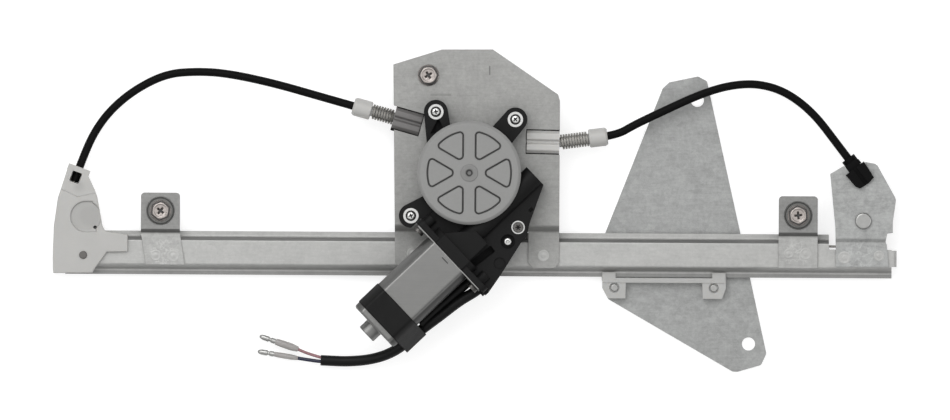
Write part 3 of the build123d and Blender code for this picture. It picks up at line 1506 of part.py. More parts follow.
with BuildPart() as wire_terminals:
    for wire_end, out in wire_ends:
        with BuildSketch(Plane(origin=wire_end + out * boot_length, z_dir=out)):
            Circle(terminal_radius)
        extrude(amount=terminal_length)
save(wire_terminals, "wire_terminals")
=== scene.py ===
"""Dresses the solid model of a cable window regulator for a straight-down studio picture.

Everything is in metres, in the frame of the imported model: +X along the guide rail and +Z up.
"""

import json
import math
from contextlib import contextmanager

import bmesh
import bpy
from bpy.props import FloatProperty, FloatVectorProperty, IntProperty, PointerProperty
from mathutils import Matrix, Vector
from mathutils.bvhtree import BVHTree


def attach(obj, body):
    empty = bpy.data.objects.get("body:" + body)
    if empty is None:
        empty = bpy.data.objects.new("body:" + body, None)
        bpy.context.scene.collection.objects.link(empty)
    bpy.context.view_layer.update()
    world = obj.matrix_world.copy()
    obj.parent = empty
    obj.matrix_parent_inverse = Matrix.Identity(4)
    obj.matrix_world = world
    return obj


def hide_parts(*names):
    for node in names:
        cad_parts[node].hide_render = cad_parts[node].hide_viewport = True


bl_info = {
    "name": "Window Regulator",
    "version": (1, 0, 0),
    "blender": (4, 5, 0),
    "location": "3D View > Sidebar > Regulator",
    "description": "Adds the finished pieces, materials and stage of a cable window regulator",
    "category": "Object",
}

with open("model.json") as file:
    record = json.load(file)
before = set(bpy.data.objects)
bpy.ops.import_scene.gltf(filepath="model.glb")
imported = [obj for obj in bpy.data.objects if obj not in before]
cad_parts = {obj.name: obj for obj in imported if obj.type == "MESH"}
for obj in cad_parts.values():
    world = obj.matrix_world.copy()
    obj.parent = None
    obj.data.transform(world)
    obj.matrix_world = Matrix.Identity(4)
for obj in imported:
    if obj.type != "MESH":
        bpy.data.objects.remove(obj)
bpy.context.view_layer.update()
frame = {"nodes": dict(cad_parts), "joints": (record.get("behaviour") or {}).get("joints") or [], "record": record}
NODES = frame["nodes"]
BODIES = {node: body for body, nodes in frame["record"]["behaviour"]["bodies"].items() for node in nodes}
SLOTS = {entry["node"]: entry["material_slot"] for entry in frame["record"]["subparts"]}
MM = 0.001

MOTOR_JOINT = next(joint for joint in frame["joints"] if joint["name"] == "armature_spin")
MOTOR_FOOT = Vector(MOTOR_JOINT["pos_m"])
ALONG = Vector(MOTOR_JOINT["axis"]).normalized()
ACROSS = Vector((-ALONG.y, ALONG.x, 0.0))

# The gear cover's centre, and the height of the gearbox ears under their screws, in millimetres
GEAR_AXIS = (-3.8, 23.7)
SCREW_SEAT = 34.0
# The tops of the bolts' washers, in millimetres, and the turn of each hexagon
BOLT_PLACES = ((-201.3, -1.6, 19.2, 0.9), (206.9, -2.3, 19.2, 0.1), (-30.3, 86.1, 23.5, 0.55))

ORIGIN = Matrix.Identity(4)
WHITE = (1.0, 1.0, 1.0, 1.0)
# A softened copy has its vertices merged within a distance, and its flattest edges dissolved
MERGE_DISTANCE = 0.002 * MM
FLAT_ANGLE = math.radians(0.5)
# Its rounding is tried at each share of its width, until no vertex is further from the solid than
# STRAY_REACH times that width. If none will do, the strays of one share are put back on the solid
ROUNDING_SHARES = (1.0, 0.6, 0.35, 0.2, 0.1)
SHARE_WITH_STRAYS = 0.35
STRAY_REACH = 0.6

LEFT_SHEATH_ROUTE = (
    (-0.0706, 0.0640, 0.0150), (-0.0986, 0.0718, 0.0150), (-0.1300, 0.0806, 0.0134),
    (-0.1592, 0.0866, 0.0120), (-0.1786, 0.0877, 0.0111), (-0.1982, 0.0860, 0.0103),
    (-0.2180, 0.0759, 0.0095), (-0.2334, 0.0630, 0.0090), (-0.2439, 0.0486, 0.0090),
    (-0.2509, 0.0326, 0.0090), (-0.2565, 0.0171, 0.0090),
)
RIGHT_SHEATH_ROUTE = (
    (0.0766, 0.0466, 0.0130), (0.0905, 0.0484, 0.0130), (0.1015, 0.0550, 0.0130),
    (0.1199, 0.0638, 0.0124), (0.1392, 0.0729, 0.0118), (0.1549, 0.0787, 0.0112),
    (0.1684, 0.0814, 0.0106), (0.1810, 0.0816, 0.0101), (0.1943, 0.0783, 0.0097),
    (0.2066, 0.0712, 0.0093), (0.2184, 0.0606, 0.0090), (0.2300, 0.0456, 0.0090),
    (0.2397, 0.0329, 0.0090),
)


def beside_motor(s, t, z):
    """A point by its place along and across the motor's axis and its height, in millimetres."""
    place = MOTOR_FOOT + ALONG * (s * MM) + ACROSS * (t * MM)
    return (place.x, place.y, z * MM)


LEAD_ROUTE = (
    beside_motor(-40.9, -28.8, 28.45), beside_motor(-48.6, -28.4, 28.45), beside_motor(-57.0, -26.3, 28.4),
    beside_motor(-65.0, -25.0, 28.3), beside_motor(-74.0, -24.2, 28.0), beside_motor(-84.0, -23.0, 27.2),
    beside_motor(-95.5, -21.7, 24.6),
    (-0.0470, -0.0882, 0.0190), (-0.0566, -0.0934, 0.0130), (-0.0680, -0.0964, 0.0086),
    (-0.0810, -0.0974, 0.0062), (-0.0900, -0.0971, 0.0058), (-0.0982, -0.0967, 0.0058),
)
# Each wire's name, finish, diameter, the radius of its boot, its route and where its terminal points
WIRES = (
    ("upper", "pink", 1.9, 2.3, (
        (-95.5, -95.6, 6.1), (-98.8, -94.7, 6.1), (-104.0, -93.2, 5.8), (-109.0, -91.5, 5.3),
        (-113.7, -89.4, 4.9),
    ), (-137.6, -81.4, 4.6)),
    ("lower", "navy", 2.3, 1.75, (
        (-95.5, -97.6, 5.6), (-98.8, -97.5, 5.5), (-104.0, -96.8, 5.1), (-109.0, -96.1, 4.7),
        (-113.9, -95.3, 4.4),
    ), (-139.0, -91.2, 4.2)),
)


# The sizes and colours that a user may change
class RegulatorSizes(bpy.types.PropertyGroup):
    """Sizes of the pieces that are added to the solid model."""

    sheath: FloatProperty(
        name="Sheath", description="Diameter of the two cable sheaths", default=5.2 * MM, unit="LENGTH"
    )
    lead: FloatProperty(
        name="Lead", description="Diameter of the motor lead's sleeve", default=6.8 * MM, unit="LENGTH"
    )
    bolt_flats: FloatProperty(
        name="Bolt hexagon", description="Width across the flats of the mounting bolts", default=10.0 * MM,
        unit="LENGTH",
    )
    bolt_flange: FloatProperty(
        name="Bolt flange", description="Radius of the mounting bolts' flange", default=6.8 * MM, unit="LENGTH"
    )
    weld: FloatProperty(
        name="Spot weld", description="Radius of the ring round a spot weld", default=3.6 * MM, unit="LENGTH"
    )
    moulded_edge: FloatProperty(
        name="Moulded edge", description="Rounding of the moulded pieces' edges", default=0.45 * MM,
        unit="LENGTH",
    )
    sheet_edge: FloatProperty(
        name="Sheet edge", description="Rounding of the pressed sheets' edges", default=0.2 * MM, unit="LENGTH"
    )
    rounding_steps: IntProperty(
        name="Rounding steps", description="Faces across a rounded edge", default=2, min=1
    )


def colour(name, description, default):
    """A colour property with its default."""
    return FloatVectorProperty(
        name=name, description=description, subtype="COLOR", size=3, min=0.0, max=1.0, default=default
    )


class RegulatorColours(bpy.types.PropertyGroup):
    """Colours of the finishes."""

    rail: colour("Rail", "Zinc coat on the guide rail", (0.40, 0.40, 0.39))
    plate: colour("Plate", "Zinc coat on the motor plate", (0.33, 0.33, 0.32))
    carrier: colour("Carrier", "Zinc coat on the glass carrier", (0.33, 0.335, 0.33))
    bolt: colour("Bolts", "Passivated zinc on the mounting bolts", (0.40, 0.365, 0.345))
    bright: colour("Bright steel", "Screws, sleeves and rivets", (0.66, 0.66, 0.65))
    spring: colour("Spring steel", "Drawn wire of the springs", (0.30, 0.29, 0.27))
    can: colour("Motor can", "Zinc coat on the motor can", (0.22, 0.22, 0.215))
    cover: colour("Gear cover", "Satin grey of the gear cover", (0.24, 0.24, 0.235))
    black: colour("Black moulding", "Glass-filled black plastic", (0.007, 0.007, 0.007))
    sheath: colour("Sheath", "Outer skin of the sheaths and the lead", (0.004, 0.004, 0.004))
    tape: colour("Tape", "Tape round the motor can", (0.004, 0.004, 0.004))
    nylon: colour("Nylon", "Natural nylon of the guide, caps and ferrule", (0.50, 0.495, 0.48))
    frosted: colour("Frosted nylon", "Translucent nylon of the slider shoe", (0.40, 0.40, 0.39))
    smoke: colour("Smoke grey", "Grey plastic of the left ferrule", (0.135, 0.130, 0.127))
    pink: colour("Upper wire", "Insulation of the upper wire", (0.24, 0.125, 0.135))
    navy: colour("Lower wire", "Insulation of the lower wire", (0.006, 0.009, 0.030))
    copper: colour("Copper", "Windings and commutator", (0.60, 0.24, 0.11))


class RegulatorStage(bpy.types.PropertyGroup):
    """Camera, floor and light."""

    width: FloatProperty(
        name="Picture width", description="Width of the stage that the camera takes in", default=0.608,
        unit="LENGTH",
    )
    height: FloatProperty(name="Camera height", description="Height of the camera", default=1.5, unit="LENGTH")
    turn: FloatProperty(
        name="Turn", description="Turn of the camera about the line of sight", default=math.radians(0.33),
        subtype="ANGLE",
    )
    key: FloatProperty(name="Key light", description="Power of the large light", default=9.5, unit="POWER")
    fill: FloatProperty(name="Fill light", description="Power of the side lights", default=2.4, unit="POWER")
    sky: FloatProperty(name="Sky", description="Strength of the soft light from the sky", default=0.62)


# Shader maths
def scaled(tint, strength):
    """A colour, strengthened or weakened."""
    return tuple(c * strength for c in tint)


class Value:
    """An output in a tree of nodes, with the arithmetic that the patterns use."""

    def __init__(self, owner, socket):
        self.owner = owner
        self.socket = socket

    def maths(self, operation, *others):
        """A Math node on this value and the others."""
        inputs = dict(enumerate((self, *others)))
        return self.owner.node("ShaderNodeMath", {"operation": operation}, inputs)

    def __add__(self, other):
        return self.maths("ADD", other)

    def __sub__(self, other):
        return self.maths("SUBTRACT", other)

    def __rsub__(self, other):
        return self.owner.node("ShaderNodeMath", {"operation": "SUBTRACT"}, {0: other, 1: self})

    def __mul__(self, other):
        return self.maths("MULTIPLY", other)

    def __pow__(self, other):
        return self.maths("POWER", other)

    __radd__ = __add__
    __rmul__ = __mul__

    def size(self):
        """The value without its sign."""
        return self.maths("ABSOLUTE")

    def between(self, low, high):
        """0 below low, 1 above high, with a soft step between them."""
        settings = {"interpolation_type": "SMOOTHSTEP"}
        inputs = {"Value": self, "From Min": low, "From Max": high}
        return self.owner.node("ShaderNodeMapRange", settings, inputs)

    def within(self, reach, soft):
        """1 nearer to zero than a reach and 0 beyond it, with a soft step, in millimetres."""
        return 1.0 - self.size().between((reach - soft / 2) * MM, (reach + soft / 2) * MM)


class Tree:
    """A tree of shader nodes in the making."""

    def __init__(self, tree):
        self.tree = tree

    def feed(self, socket, value):
        """Sets a socket, or links a value to it."""
        if isinstance(value, Value):
            self.tree.links.new(value.socket, socket)
        else:
            socket.default_value = value

    def node(self, kind, settings=None, inputs=None, output=0):
        """Adds a node: its settings first, then its inputs, and returns one of its outputs."""
        made = self.tree.nodes.new(kind)
        for key, value in (settings or {}).items():
            setattr(made, key, value)
        for key, value in (inputs or {}).items():
            self.feed(made.inputs[key], value)
        return Value(self, made.outputs[output])


class Finish(Tree):
    """A material in the making."""

    def __init__(self, name, tint, roughness, metallic=0.0, **constants):
        self.material = bpy.data.materials.new(name)
        self.material.use_nodes = True
        super().__init__(self.material.node_tree)
        self.shader = self.tree.nodes["Principled BSDF"]
        self.tint = tuple(tint)
        self.set("Base Color", (*self.tint, 1.0))
        self.set("Roughness", roughness)
        self.set("Metallic", metallic)
        for socket, value in constants.items():
            self.set(socket.replace("_", " "), value)
        self.place = self.node("ShaderNodeTexCoord", output="Object")

    def set(self, socket, value):
        """Sets one of the shader's sockets, or links a value to it."""
        self.feed(self.shader.inputs[socket], value)

    def stretched(self, stretch, turn=(0.0, 0.0, 0.0)):
        """The place on the piece, turned and stretched."""
        return self.node("ShaderNodeMapping", {}, {"Vector": self.place, "Rotation": turn, "Scale": stretch})

    def noise(self, scale, detail=3.0, roughness=0.5, place=None):
        """Cloudy noise with a number of features per metre."""
        inputs = {"Vector": place or self.place, "Scale": scale, "Detail": detail, "Roughness": roughness}
        return self.node("ShaderNodeTexNoise", {}, inputs)

    def cells(self, scale):
        """A random shade for each crystal-like cell."""
        inputs = {"Vector": self.place, "Scale": scale, "Randomness": 1.0}
        shades = self.node("ShaderNodeTexVoronoi", {}, inputs, output="Color")
        return self.node("ShaderNodeSeparateColor", {}, {0: shades})

    def axis(self, letter):
        """One coordinate of the place on the piece."""
        return self.node("ShaderNodeSeparateXYZ", {}, {0: self.place}, output=letter)

    def distance(self, x, y):
        """The distance from a point of the plan, given in millimetres."""
        across, along = self.axis("X") - x * MM, self.axis("Y") - y * MM
        return (across * across + along * along) ** 0.5

    def patch(self, x, y, half_x, half_y):
        """1 in a rectangle of the plan and 0 outside it, in millimetres."""
        soft = 0.5
        return (self.axis("X") - x * MM).within(half_x, soft) * (self.axis("Y") - y * MM).within(half_y, soft)

    def beside(self, direction):
        """The distance along a direction of the plan from the motor's foot, in millimetres."""
        offset = MOTOR_FOOT.x * direction.x + MOTOR_FOOT.y * direction.y
        return (self.axis("X") * direction.x + self.axis("Y") * direction.y - offset) * (1.0 / MM)

    def tinted(self, factor, shade, strength):
        """A colour with the tint, strengthened or weakened, over it."""
        return self.blend(factor, shade, tuple(min(c * strength, 1.0) for c in self.tint))

    def blend(self, factor, first, second):
        """A colour between two."""
        inputs = {0: factor}
        for key, shade in ((6, first), (7, second)):
            inputs[key] = shade if isinstance(shade, Value) else (*shade, 1.0)
        return self.node("ShaderNodeMix", {"data_type": "RGBA"}, inputs, output=2)

    def shade(self, factor, darkest, lightest):
        """The base colour between two strengths of the tint."""
        made = self.blend(factor, scaled(self.tint, darkest), scaled(self.tint, lightest))
        self.set("Base Color", made)
        return made

    def relief(self, height, depth, strength=1.0):
        """Bump from a height, with its depth in metres."""
        inputs = {"Height": height, "Distance": depth, "Strength": strength}
        self.set("Normal", self.node("ShaderNodeBump", {}, inputs))


def zinc_sheet(name, tint, turn=0.0, mottle=1.0, shade_bands=(), marks=(), residue=()):
    """Galvanised sheet: crystal cells, bloom and rolling lines, with bands of painted shade, dark marks and weld
    residue.
    """
    made = Finish(name, tint, 0.45, 0.45)
    crystals = made.cells(260.0)
    bloom = made.noise(110.0, 5.0, 0.65)
    cloud = made.noise(13.0, 3.0)
    rolled = made.noise(900.0, 2.0, 0.5, made.stretched((0.12, 1.0, 1.0), (0.0, 0.0, turn)))
    grit = made.noise(1500.0, 4.0, 0.65)
    specks = made.noise(430.0, 3.0, 0.6)
    tone = crystals * 0.10 + bloom * 0.42 + cloud * 0.20 + rolled * 0.24 + grit * 0.40 + specks * 0.44 - 0.40
    coat = made.shade(tone, 1.0 - 0.22 * mottle, 1.0 + 0.22 * mottle)
    # Painted shade: each band across Y darkens a strip of the sheet, such as a wall, bend or flap, that stands in
    # shade
    for centre, half, soft, strength in shade_bands:
        band_shade = (made.axis("Y") - centre * MM).within(half, soft)
        coat = made.tinted(band_shade * strength, coat, 0.15)
    for x, y, half_x, half_y, strength in marks:
        coat = made.tinted(made.patch(x, y, half_x, half_y) * (grit * 0.8 + 0.5) * strength, coat, 0.2)
    for x, y, radius in residue:
        veins = 1.0 - (made.noise(190.0, 3.0, 0.6) - 0.5).size().between(0.004, 0.05)
        near = 1.0 - made.distance(x, y).between(radius * 0.5 * MM, radius * MM)
        coat = made.tinted(veins * near * 0.30, coat, 1.8)
    made.set("Base Color", coat)
    made.set("Roughness", 0.34 + bloom * 0.14 + grit * 0.14)
    made.relief(grit * 0.5 + rolled * 0.5 + crystals * 0.3, 0.06 * MM, 0.5)
    return made.material


def bright_metal(name, tint, roughness=0.26):
    """Plated steel of small fasteners, with fine marks of handling."""
    made = Finish(name, tint, roughness, 0.95)
    marks = made.noise(1900.0, 4.0, 0.6)
    patches = made.noise(420.0, 3.0)
    made.shade(marks * 0.45 + patches * 0.6, 0.80, 1.14)
    made.set("Roughness", roughness - 0.05 + marks * 0.12)
    made.relief(marks, 0.006 * MM, 0.5)
    return made.material


def washer_with_shade_rings(name, tint, centres):
    """A flat washer, with painted shade in dark rings at its edge and close to the bolt's flange."""
    made = Finish(name, tint, 0.4, 0.95)
    marks = made.noise(1900.0, 4.0, 0.6)
    ring = made.shade(marks * 0.7 + made.noise(420.0, 3.0) * 0.6, 0.80, 1.14)
    for x, y in centres:
        radius = made.distance(x, y)
        # Painted shade: rings at the washer's edge and round the bolt's flange are darkened
        edge = radius.between(7.5 * MM, 8.0 * MM) * (1.0 - radius.between(9.4 * MM, 9.6 * MM))
        flange_shadow = radius.between(5.4 * MM, 5.6 * MM) * (1.0 - radius.between(6.5 * MM, 6.9 * MM))
        ring = made.tinted((edge + flange_shadow) * 0.75, ring, 0.15)
    made.set("Base Color", ring)
    made.relief(marks, 0.006 * MM, 0.5)
    return made.material


def moulded(name, tint, roughness=0.5, grain=900.0, depth=0.03, gloss=0.5):
    """Moulded plastic: a fine spark-eroded grain and faint flow marks."""
    made = Finish(name, tint, roughness, Specular_IOR_Level=gloss)
    flow = made.noise(38.0, 4.0, 0.55)
    pores = made.noise(grain, 4.0, 0.7)
    scuffs = made.noise(240.0, 5.0, 0.7, made.stretched((1.0, 0.2, 1.0), (0.0, 0.0, 0.7)))
    made.shade(flow * 0.6 + scuffs * 0.5, 0.75, 1.35)
    made.set("Roughness", roughness - 0.12 + pores * 0.14 + scuffs * 0.12)
    made.relief(pores, depth * MM, 0.6)
    return made.material


def natural_nylon(name, tint, shaded_hollows=()):
    """Unpigmented nylon, which lets a little light in, with painted shade in its thin hollows."""
    made = Finish(
        name, tint, 0.42, Subsurface_Weight=0.25, Subsurface_Radius=(1.0, 0.9, 0.75), Subsurface_Scale=2.0 * MM
    )
    flow = made.noise(60.0, 4.0, 0.6)
    specks = made.noise(1100.0, 3.0, 0.6)
    body = made.shade(flow * 0.7 + specks * 0.35, 0.90, 1.08)
    for x, y, radius, soft, strength in shaded_hollows:
        # Painted shade, darkest in the middle of each hollow
        hollow_shade = 1.0 - made.distance(x, y).between((radius - soft) * MM, radius * MM)
        body = made.tinted(hollow_shade * strength, body, 0.55)
    made.set("Base Color", body)
    made.set("Roughness", 0.32 + specks * 0.18)
    made.relief(flow * 0.7 + specks * 0.3, 0.04 * MM, 0.5)
    return made.material


def cover_grey(name, tint):
    """The gear cover's satin grey, with painted shade in the grooves round its pockets and in the dimple of its
    hub, and darker on its hub.
    """
    made = Finish(name, tint, 0.46, Specular_IOR_Level=0.35)
    flow = made.noise(38.0, 4.0, 0.55)
    pores = made.noise(700.0, 4.0, 0.7)
    plain = made.shade(flow * 0.5 + pores * 0.5, 0.88, 1.12)
    radius = made.distance(*GEAR_AXIS)
    height = made.axis("Z")
    # Painted shade in the grooves, on the cover's sides below its face and in the dimple of its hub
    below_face = 1.0 - height.between(0.0478, 0.0489)
    inside_rim = 1.0 - radius.between(0.0288, 0.0296)
    groove_shade = below_face * inside_rim * radius.between(0.0030, 0.0040)
    dimple_shade = (1.0 - radius.between(0.0018, 0.0024)) * radius.between(0.0009, 0.0015)
    hub = 1.0 - radius.between(0.0040, 0.0062)
    grooved = made.blend(groove_shade * 0.80, plain, scaled(tint, 0.07))
    shaded = made.blend(hub * 0.30, grooved, scaled(tint, 0.35))
    made.set("Base Color", made.blend(dimple_shade * 0.85, shaded, scaled(tint, 0.12)))
    made.set("Roughness", 0.40 + pores * 0.12)
    made.relief(pores, 0.02 * MM, 0.5)
    return made.material


def skin(name, tint, roughness, gloss=0.5):
    """The extruded skin of a sheath, sleeve or wire."""
    made = Finish(name, tint, roughness, Specular_IOR_Level=gloss)
    dust = made.noise(420.0, 5.0, 0.65)
    made.shade(dust, 0.6, 1.7)
    made.set("Roughness", roughness - 0.08 + dust * 0.2)
    made.relief(dust, 0.03 * MM, 0.4)
    return made.material


def brushed(name, tint, roughness, turn):
    """Drawn or turned metal, with lines along one direction."""
    made = Finish(name, tint, roughness, 0.85)
    lines = made.noise(1300.0, 3.0, 0.6, made.stretched((0.05, 1.0, 1.0), (0.0, 0.0, turn)))
    cloud = made.noise(70.0, 4.0, 0.6)
    spots = made.noise(700.0, 4.0, 0.7)
    made.shade(lines * 0.45 + cloud * 0.4 + spots * 0.25, 0.80, 1.20)
    made.set("Roughness", roughness - 0.06 + lines * 0.12 + cloud * 0.06)
    made.relief(lines, 0.02 * MM, 0.4)
    return made.material


def can_steel(name, tint, turn):
    """The drawn motor can: brushed along its axis, with painted shade on its rounded sides and a slit near its
    flange painted dark as its shade.
    """
    made = Finish(name, tint, 0.36, 0.85)
    lines = made.noise(1300.0, 3.0, 0.6, made.stretched((0.05, 1.0, 1.0), (0.0, 0.0, turn)))
    cloud = made.noise(70.0, 4.0, 0.6)
    plain = made.shade(lines * 0.45 + cloud * 0.6, 0.84, 1.16)
    along, across = made.beside(ALONG), made.beside(ACROSS)
    # Painted shade on the can's two rounded sides
    shaded = made.tinted((1.0 - across.between(-14.6, -13.4)) * 0.85, plain, 0.10)
    shaded = made.tinted(across.between(12.8, 14.4) * 0.45, shaded, 0.2)
    # Painted shade of a slit near the can's flange
    slit_shade = (1.0 - (along + 49.8).size().between(0.2, 0.5)) * (1.0 - (across + 0.3).size().between(2.5, 2.9))
    made.set("Base Color", made.tinted(slit_shade * 0.85, shaded, 0.1))
    made.set("Roughness", 0.30 + lines * 0.12 + cloud * 0.06)
    made.relief(lines, 0.02 * MM, 0.4)
    return made.material


def taped(name, tint):
    """Cloth-backed tape: a fine weave and creases."""
    made = Finish(name, tint, 0.5, Specular_IOR_Level=0.16)
    weave = made.noise(1800.0, 2.0, 0.5)
    crease = made.noise(180.0, 4.0, 0.6, made.stretched((1.0, 0.35, 1.0), (0.0, 0.0, -0.76)))
    made.shade(crease, 0.5, 2.2)
    made.set("Roughness", 0.34 + crease * 0.22)
    made.relief(crease * 0.8 + weave * 0.2, 0.25 * MM, 0.7)
    return made.material


def clear_boot(name):
    """Soft clear plastic of the terminal boots."""
    made = Finish(name, (0.42, 0.40, 0.39), 0.35, Transmission_Weight=0.25, IOR=1.45)
    haze = made.noise(900.0, 3.0)
    made.shade(haze, 0.85, 1.1)
    made.set("Roughness", 0.22 + haze * 0.2)
    return made.material


FINISHES = {}


def make_finishes():
    """All the materials, by name."""
    tones = bpy.context.scene.regulator_colours
    motor_turn = -math.atan2(ALONG.y, ALONG.x)
    FINISHES.update(
        # The rail's walls and lower flange, and the brackets' flaps and bends, get bands of painted shade
        rail=zinc_sheet(
            "zinc_rail", tones.rail, mottle=1.3,
            shade_bands=((-19.3, 1.0, 0.4, 0.70), (-37.4, 1.4, 0.6, 0.20), (-41.6, 1.7, 0.6, 0.46)),
        ),
        bracket=zinc_sheet(
            "zinc_bracket", scaled(tones.rail, 0.90), mottle=2.0,
            shade_bands=((0.0, 13.2, 1.2, 0.42), (-14.4, 1.2, 0.5, 0.75)),
            residue=((-198.6, -29.0, 13.0), (206.3, -27.0, 11.0)),
        ),
        end_bracket=zinc_sheet("zinc_end_bracket", tones.carrier, 0.6, 2.8, residue=((246.0, -29.0, 13.0),)),
        plate=zinc_sheet(
            "zinc_plate", scaled(tones.plate, 0.88), mottle=1.7,
            marks=((8.9, 89.4, 0.4, 2.9, 0.7), (-22.3, 73.6, 6.5, 0.7, 0.28), (-5.0, 73.2, 7.0, 0.5, 0.12)),
            residue=((-40.2, -27.8, 6.0),),
        ),
        carrier=zinc_sheet("zinc_carrier", scaled(tones.carrier, 0.93), 1.35, 2.2),
        bolt=bright_metal("passivated_bolt", tones.bolt, 0.32),
        bright=bright_metal("bright_screw", tones.bright, 0.24),
        washer=bright_metal("dark_washer", (0.13, 0.125, 0.12), 0.4),
        bolt_washer=washer_with_shade_rings("bolt_washer_zinc", (0.15, 0.15, 0.145), [place[:2] for place in BOLT_PLACES]),
        terminal=bright_metal("tinned_terminal", (0.40, 0.40, 0.39), 0.3),
        spring=brushed("spring_wire", tones.spring, 0.34, 0.0),
        cable=brushed("cable_strand", tones.spring, 0.4, 0.0),
        can=can_steel("can_zinc", scaled(tones.can, 0.94), motor_turn),
        cover=cover_grey("cover_grey", tones.cover),
        black=moulded("black_moulding", tones.black, 0.5, gloss=0.13),
        fitting=moulded("fitting_moulding", scaled(tones.black, 0.5), 0.5, gloss=0.06),
        sheath=skin("sheath_skin", tones.sheath, 0.42, 0.05),
        sleeve=skin("sleeve_skin", tones.sheath, 0.42, 0.16),
        tape=taped("motor_tape", tones.tape),
        nylon=natural_nylon("natural_nylon", scaled(tones.nylon, 0.88)),
        pale_nylon=natural_nylon("pale_nylon", tones.nylon),
        guide=natural_nylon(
            "guide_nylon", scaled(tones.nylon, 0.84),
            # Painted shade in the guide's basin and below its cable slot
            shaded_hollows=(
                (-249.0, -4.9, 11.0, 2.2, 0.30), (-246.5, -5.2, 8.0, 3.0, 0.15), (-253.5, 13.5, 5.5, 5.0, 0.30),
            ),
        ),
        frosted=natural_nylon("frosted_nylon", tones.frosted),
        smoke=moulded("smoke_plastic", tones.smoke, 0.44, 700.0, 0.02),
        pink=skin("pink_wire", tones.pink, 0.45),
        navy=skin("navy_wire", tones.navy, 0.45),
        boot=clear_boot("clear_boot"),
        copper=brushed("enamelled_copper", tones.copper, 0.35, motor_turn),
        dark=moulded("dark_core_and_shadow", (0.05, 0.05, 0.05), 0.55),
        recess=moulded("recess_shade", (0.012, 0.012, 0.012), 0.6, gloss=0.1),
    )


# Modelling helpers
def only(piece):
    """Selects one piece and nothing else."""
    if bpy.context.object and bpy.context.object.mode != "OBJECT":
        bpy.ops.object.mode_set(mode="OBJECT")
    bpy.ops.object.select_all(action="DESELECT")
    piece.select_set(True)
    bpy.context.view_layer.objects.active = piece


@contextmanager
def editing(piece, kind="FACE"):
    """Edit mode on one piece, with nothing selected at the start."""
    only(piece)
    bpy.ops.object.mode_set(mode="EDIT")
    bpy.ops.mesh.select_mode(type=kind)
    bpy.ops.mesh.select_all(action="DESELECT")
    try:
        yield bmesh.from_edit_mesh(piece.data)
    finally:
        bpy.ops.object.mode_set(mode="OBJECT")


def added(name):
    """Names the primitive that was just added."""
    piece = bpy.context.object
    piece.name = piece.data.name = name
    return piece


def modify(piece, kind, **settings):
    """Adds a modifier, sets it and applies it."""
    only(piece)
    bpy.ops.object.modifier_add(type=kind)
    modifier = piece.modifiers[-1]
    for key, value in settings.items():
        setattr(modifier, key, value)
    bpy.ops.object.modifier_apply(modifier=modifier.name)


def even_shading(piece):
    """Shades large faces flat and the roundings between them smooth."""
    modify(piece, "WEIGHTED_NORMAL", mode="FACE_AREA", weight=80, keep_sharp=True)


def round_edges(piece, width, angle=32.0):
    """Rounds the sharp edges and smooths the shading between them."""
    steps = bpy.context.scene.regulator_sizes.rounding_steps
    modify(
        piece, "BEVEL", width=width, segments=steps, limit_method="ANGLE", angle_limit=math.radians(angle),
        use_clamp_overlap=False, harden_normals=False,
    )
    only(piece)
    bpy.ops.object.shade_smooth_by_angle(angle=math.radians(40))
    even_shading(piece)


def placed(piece, place):
    """Puts a piece, modelled at the origin, in its place, and keeps that place in its mesh."""
    only(piece)
    piece.matrix_world = place @ piece.matrix_world
    bpy.ops.object.transform_apply(location=True, rotation=True, scale=True)
    return piece


def primitive(add, name, scale=(1.0, 1.0, 1.0), turn=0.0, **settings):
    """A primitive from its operator, scaled, turned about Z and named, with its place kept in its mesh."""
    bpy.ops.object.select_all(action="DESELECT")
    add(**settings)
    piece = added(name)
    piece.scale = scale
    piece.rotation_euler = (0.0, 0.0, turn)
    bpy.ops.object.transform_apply(location=True, rotation=True, scale=True)
    return piece


def place_at(x, y, z, turn=0.0):
    """A place in millimetres, turned about Z."""
    return Matrix.Translation((x * MM, y * MM, z * MM)) @ Matrix.Rotation(turn, 4, "Z")


def facing(origin, direction):
    """A place at a point whose Z runs along a direction."""
    return Matrix.Translation(origin) @ Vector(direction).to_track_quat("Z", "Y").to_matrix().to_4x4()


def joined(pieces, name):
    """One piece out of several."""
    bpy.ops.object.select_all(action="DESELECT")
    for piece in pieces:
        piece.select_set(True)
    bpy.context.view_layer.objects.active = pieces[0]
    bpy.ops.object.join()
    return added(name)


def finished(piece, finish, body, *nodes, slot=None):
    """Gives a piece its finish, its body and the solids it stands for."""
    if piece.type == "MESH":
        only(piece)
    piece.data.materials.clear()
    piece.data.materials.append(FINISHES[finish])
    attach(piece, body)
    if nodes:
        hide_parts(*nodes)
    return piece


def dress(**finishes):
    """Gives solids of the model their finishes."""
    for node, finish in finishes.items():
        materials = NODES[node].data.materials
        materials.clear()
        materials.append(FINISHES[finish])


def rounded_copy(node, width):
    """A copy of a solid with its edges rounded."""
    only(NODES[node])
    bpy.ops.object.duplicate()
    piece = added(node + "_softened")
    with editing(piece, "VERT"):
        bpy.ops.mesh.select_all(action="SELECT")
        bpy.ops.mesh.remove_doubles(threshold=MERGE_DISTANCE)
        bpy.ops.mesh.dissolve_limited(angle_limit=FLAT_ANGLE)
    round_edges(piece, width)
    return piece


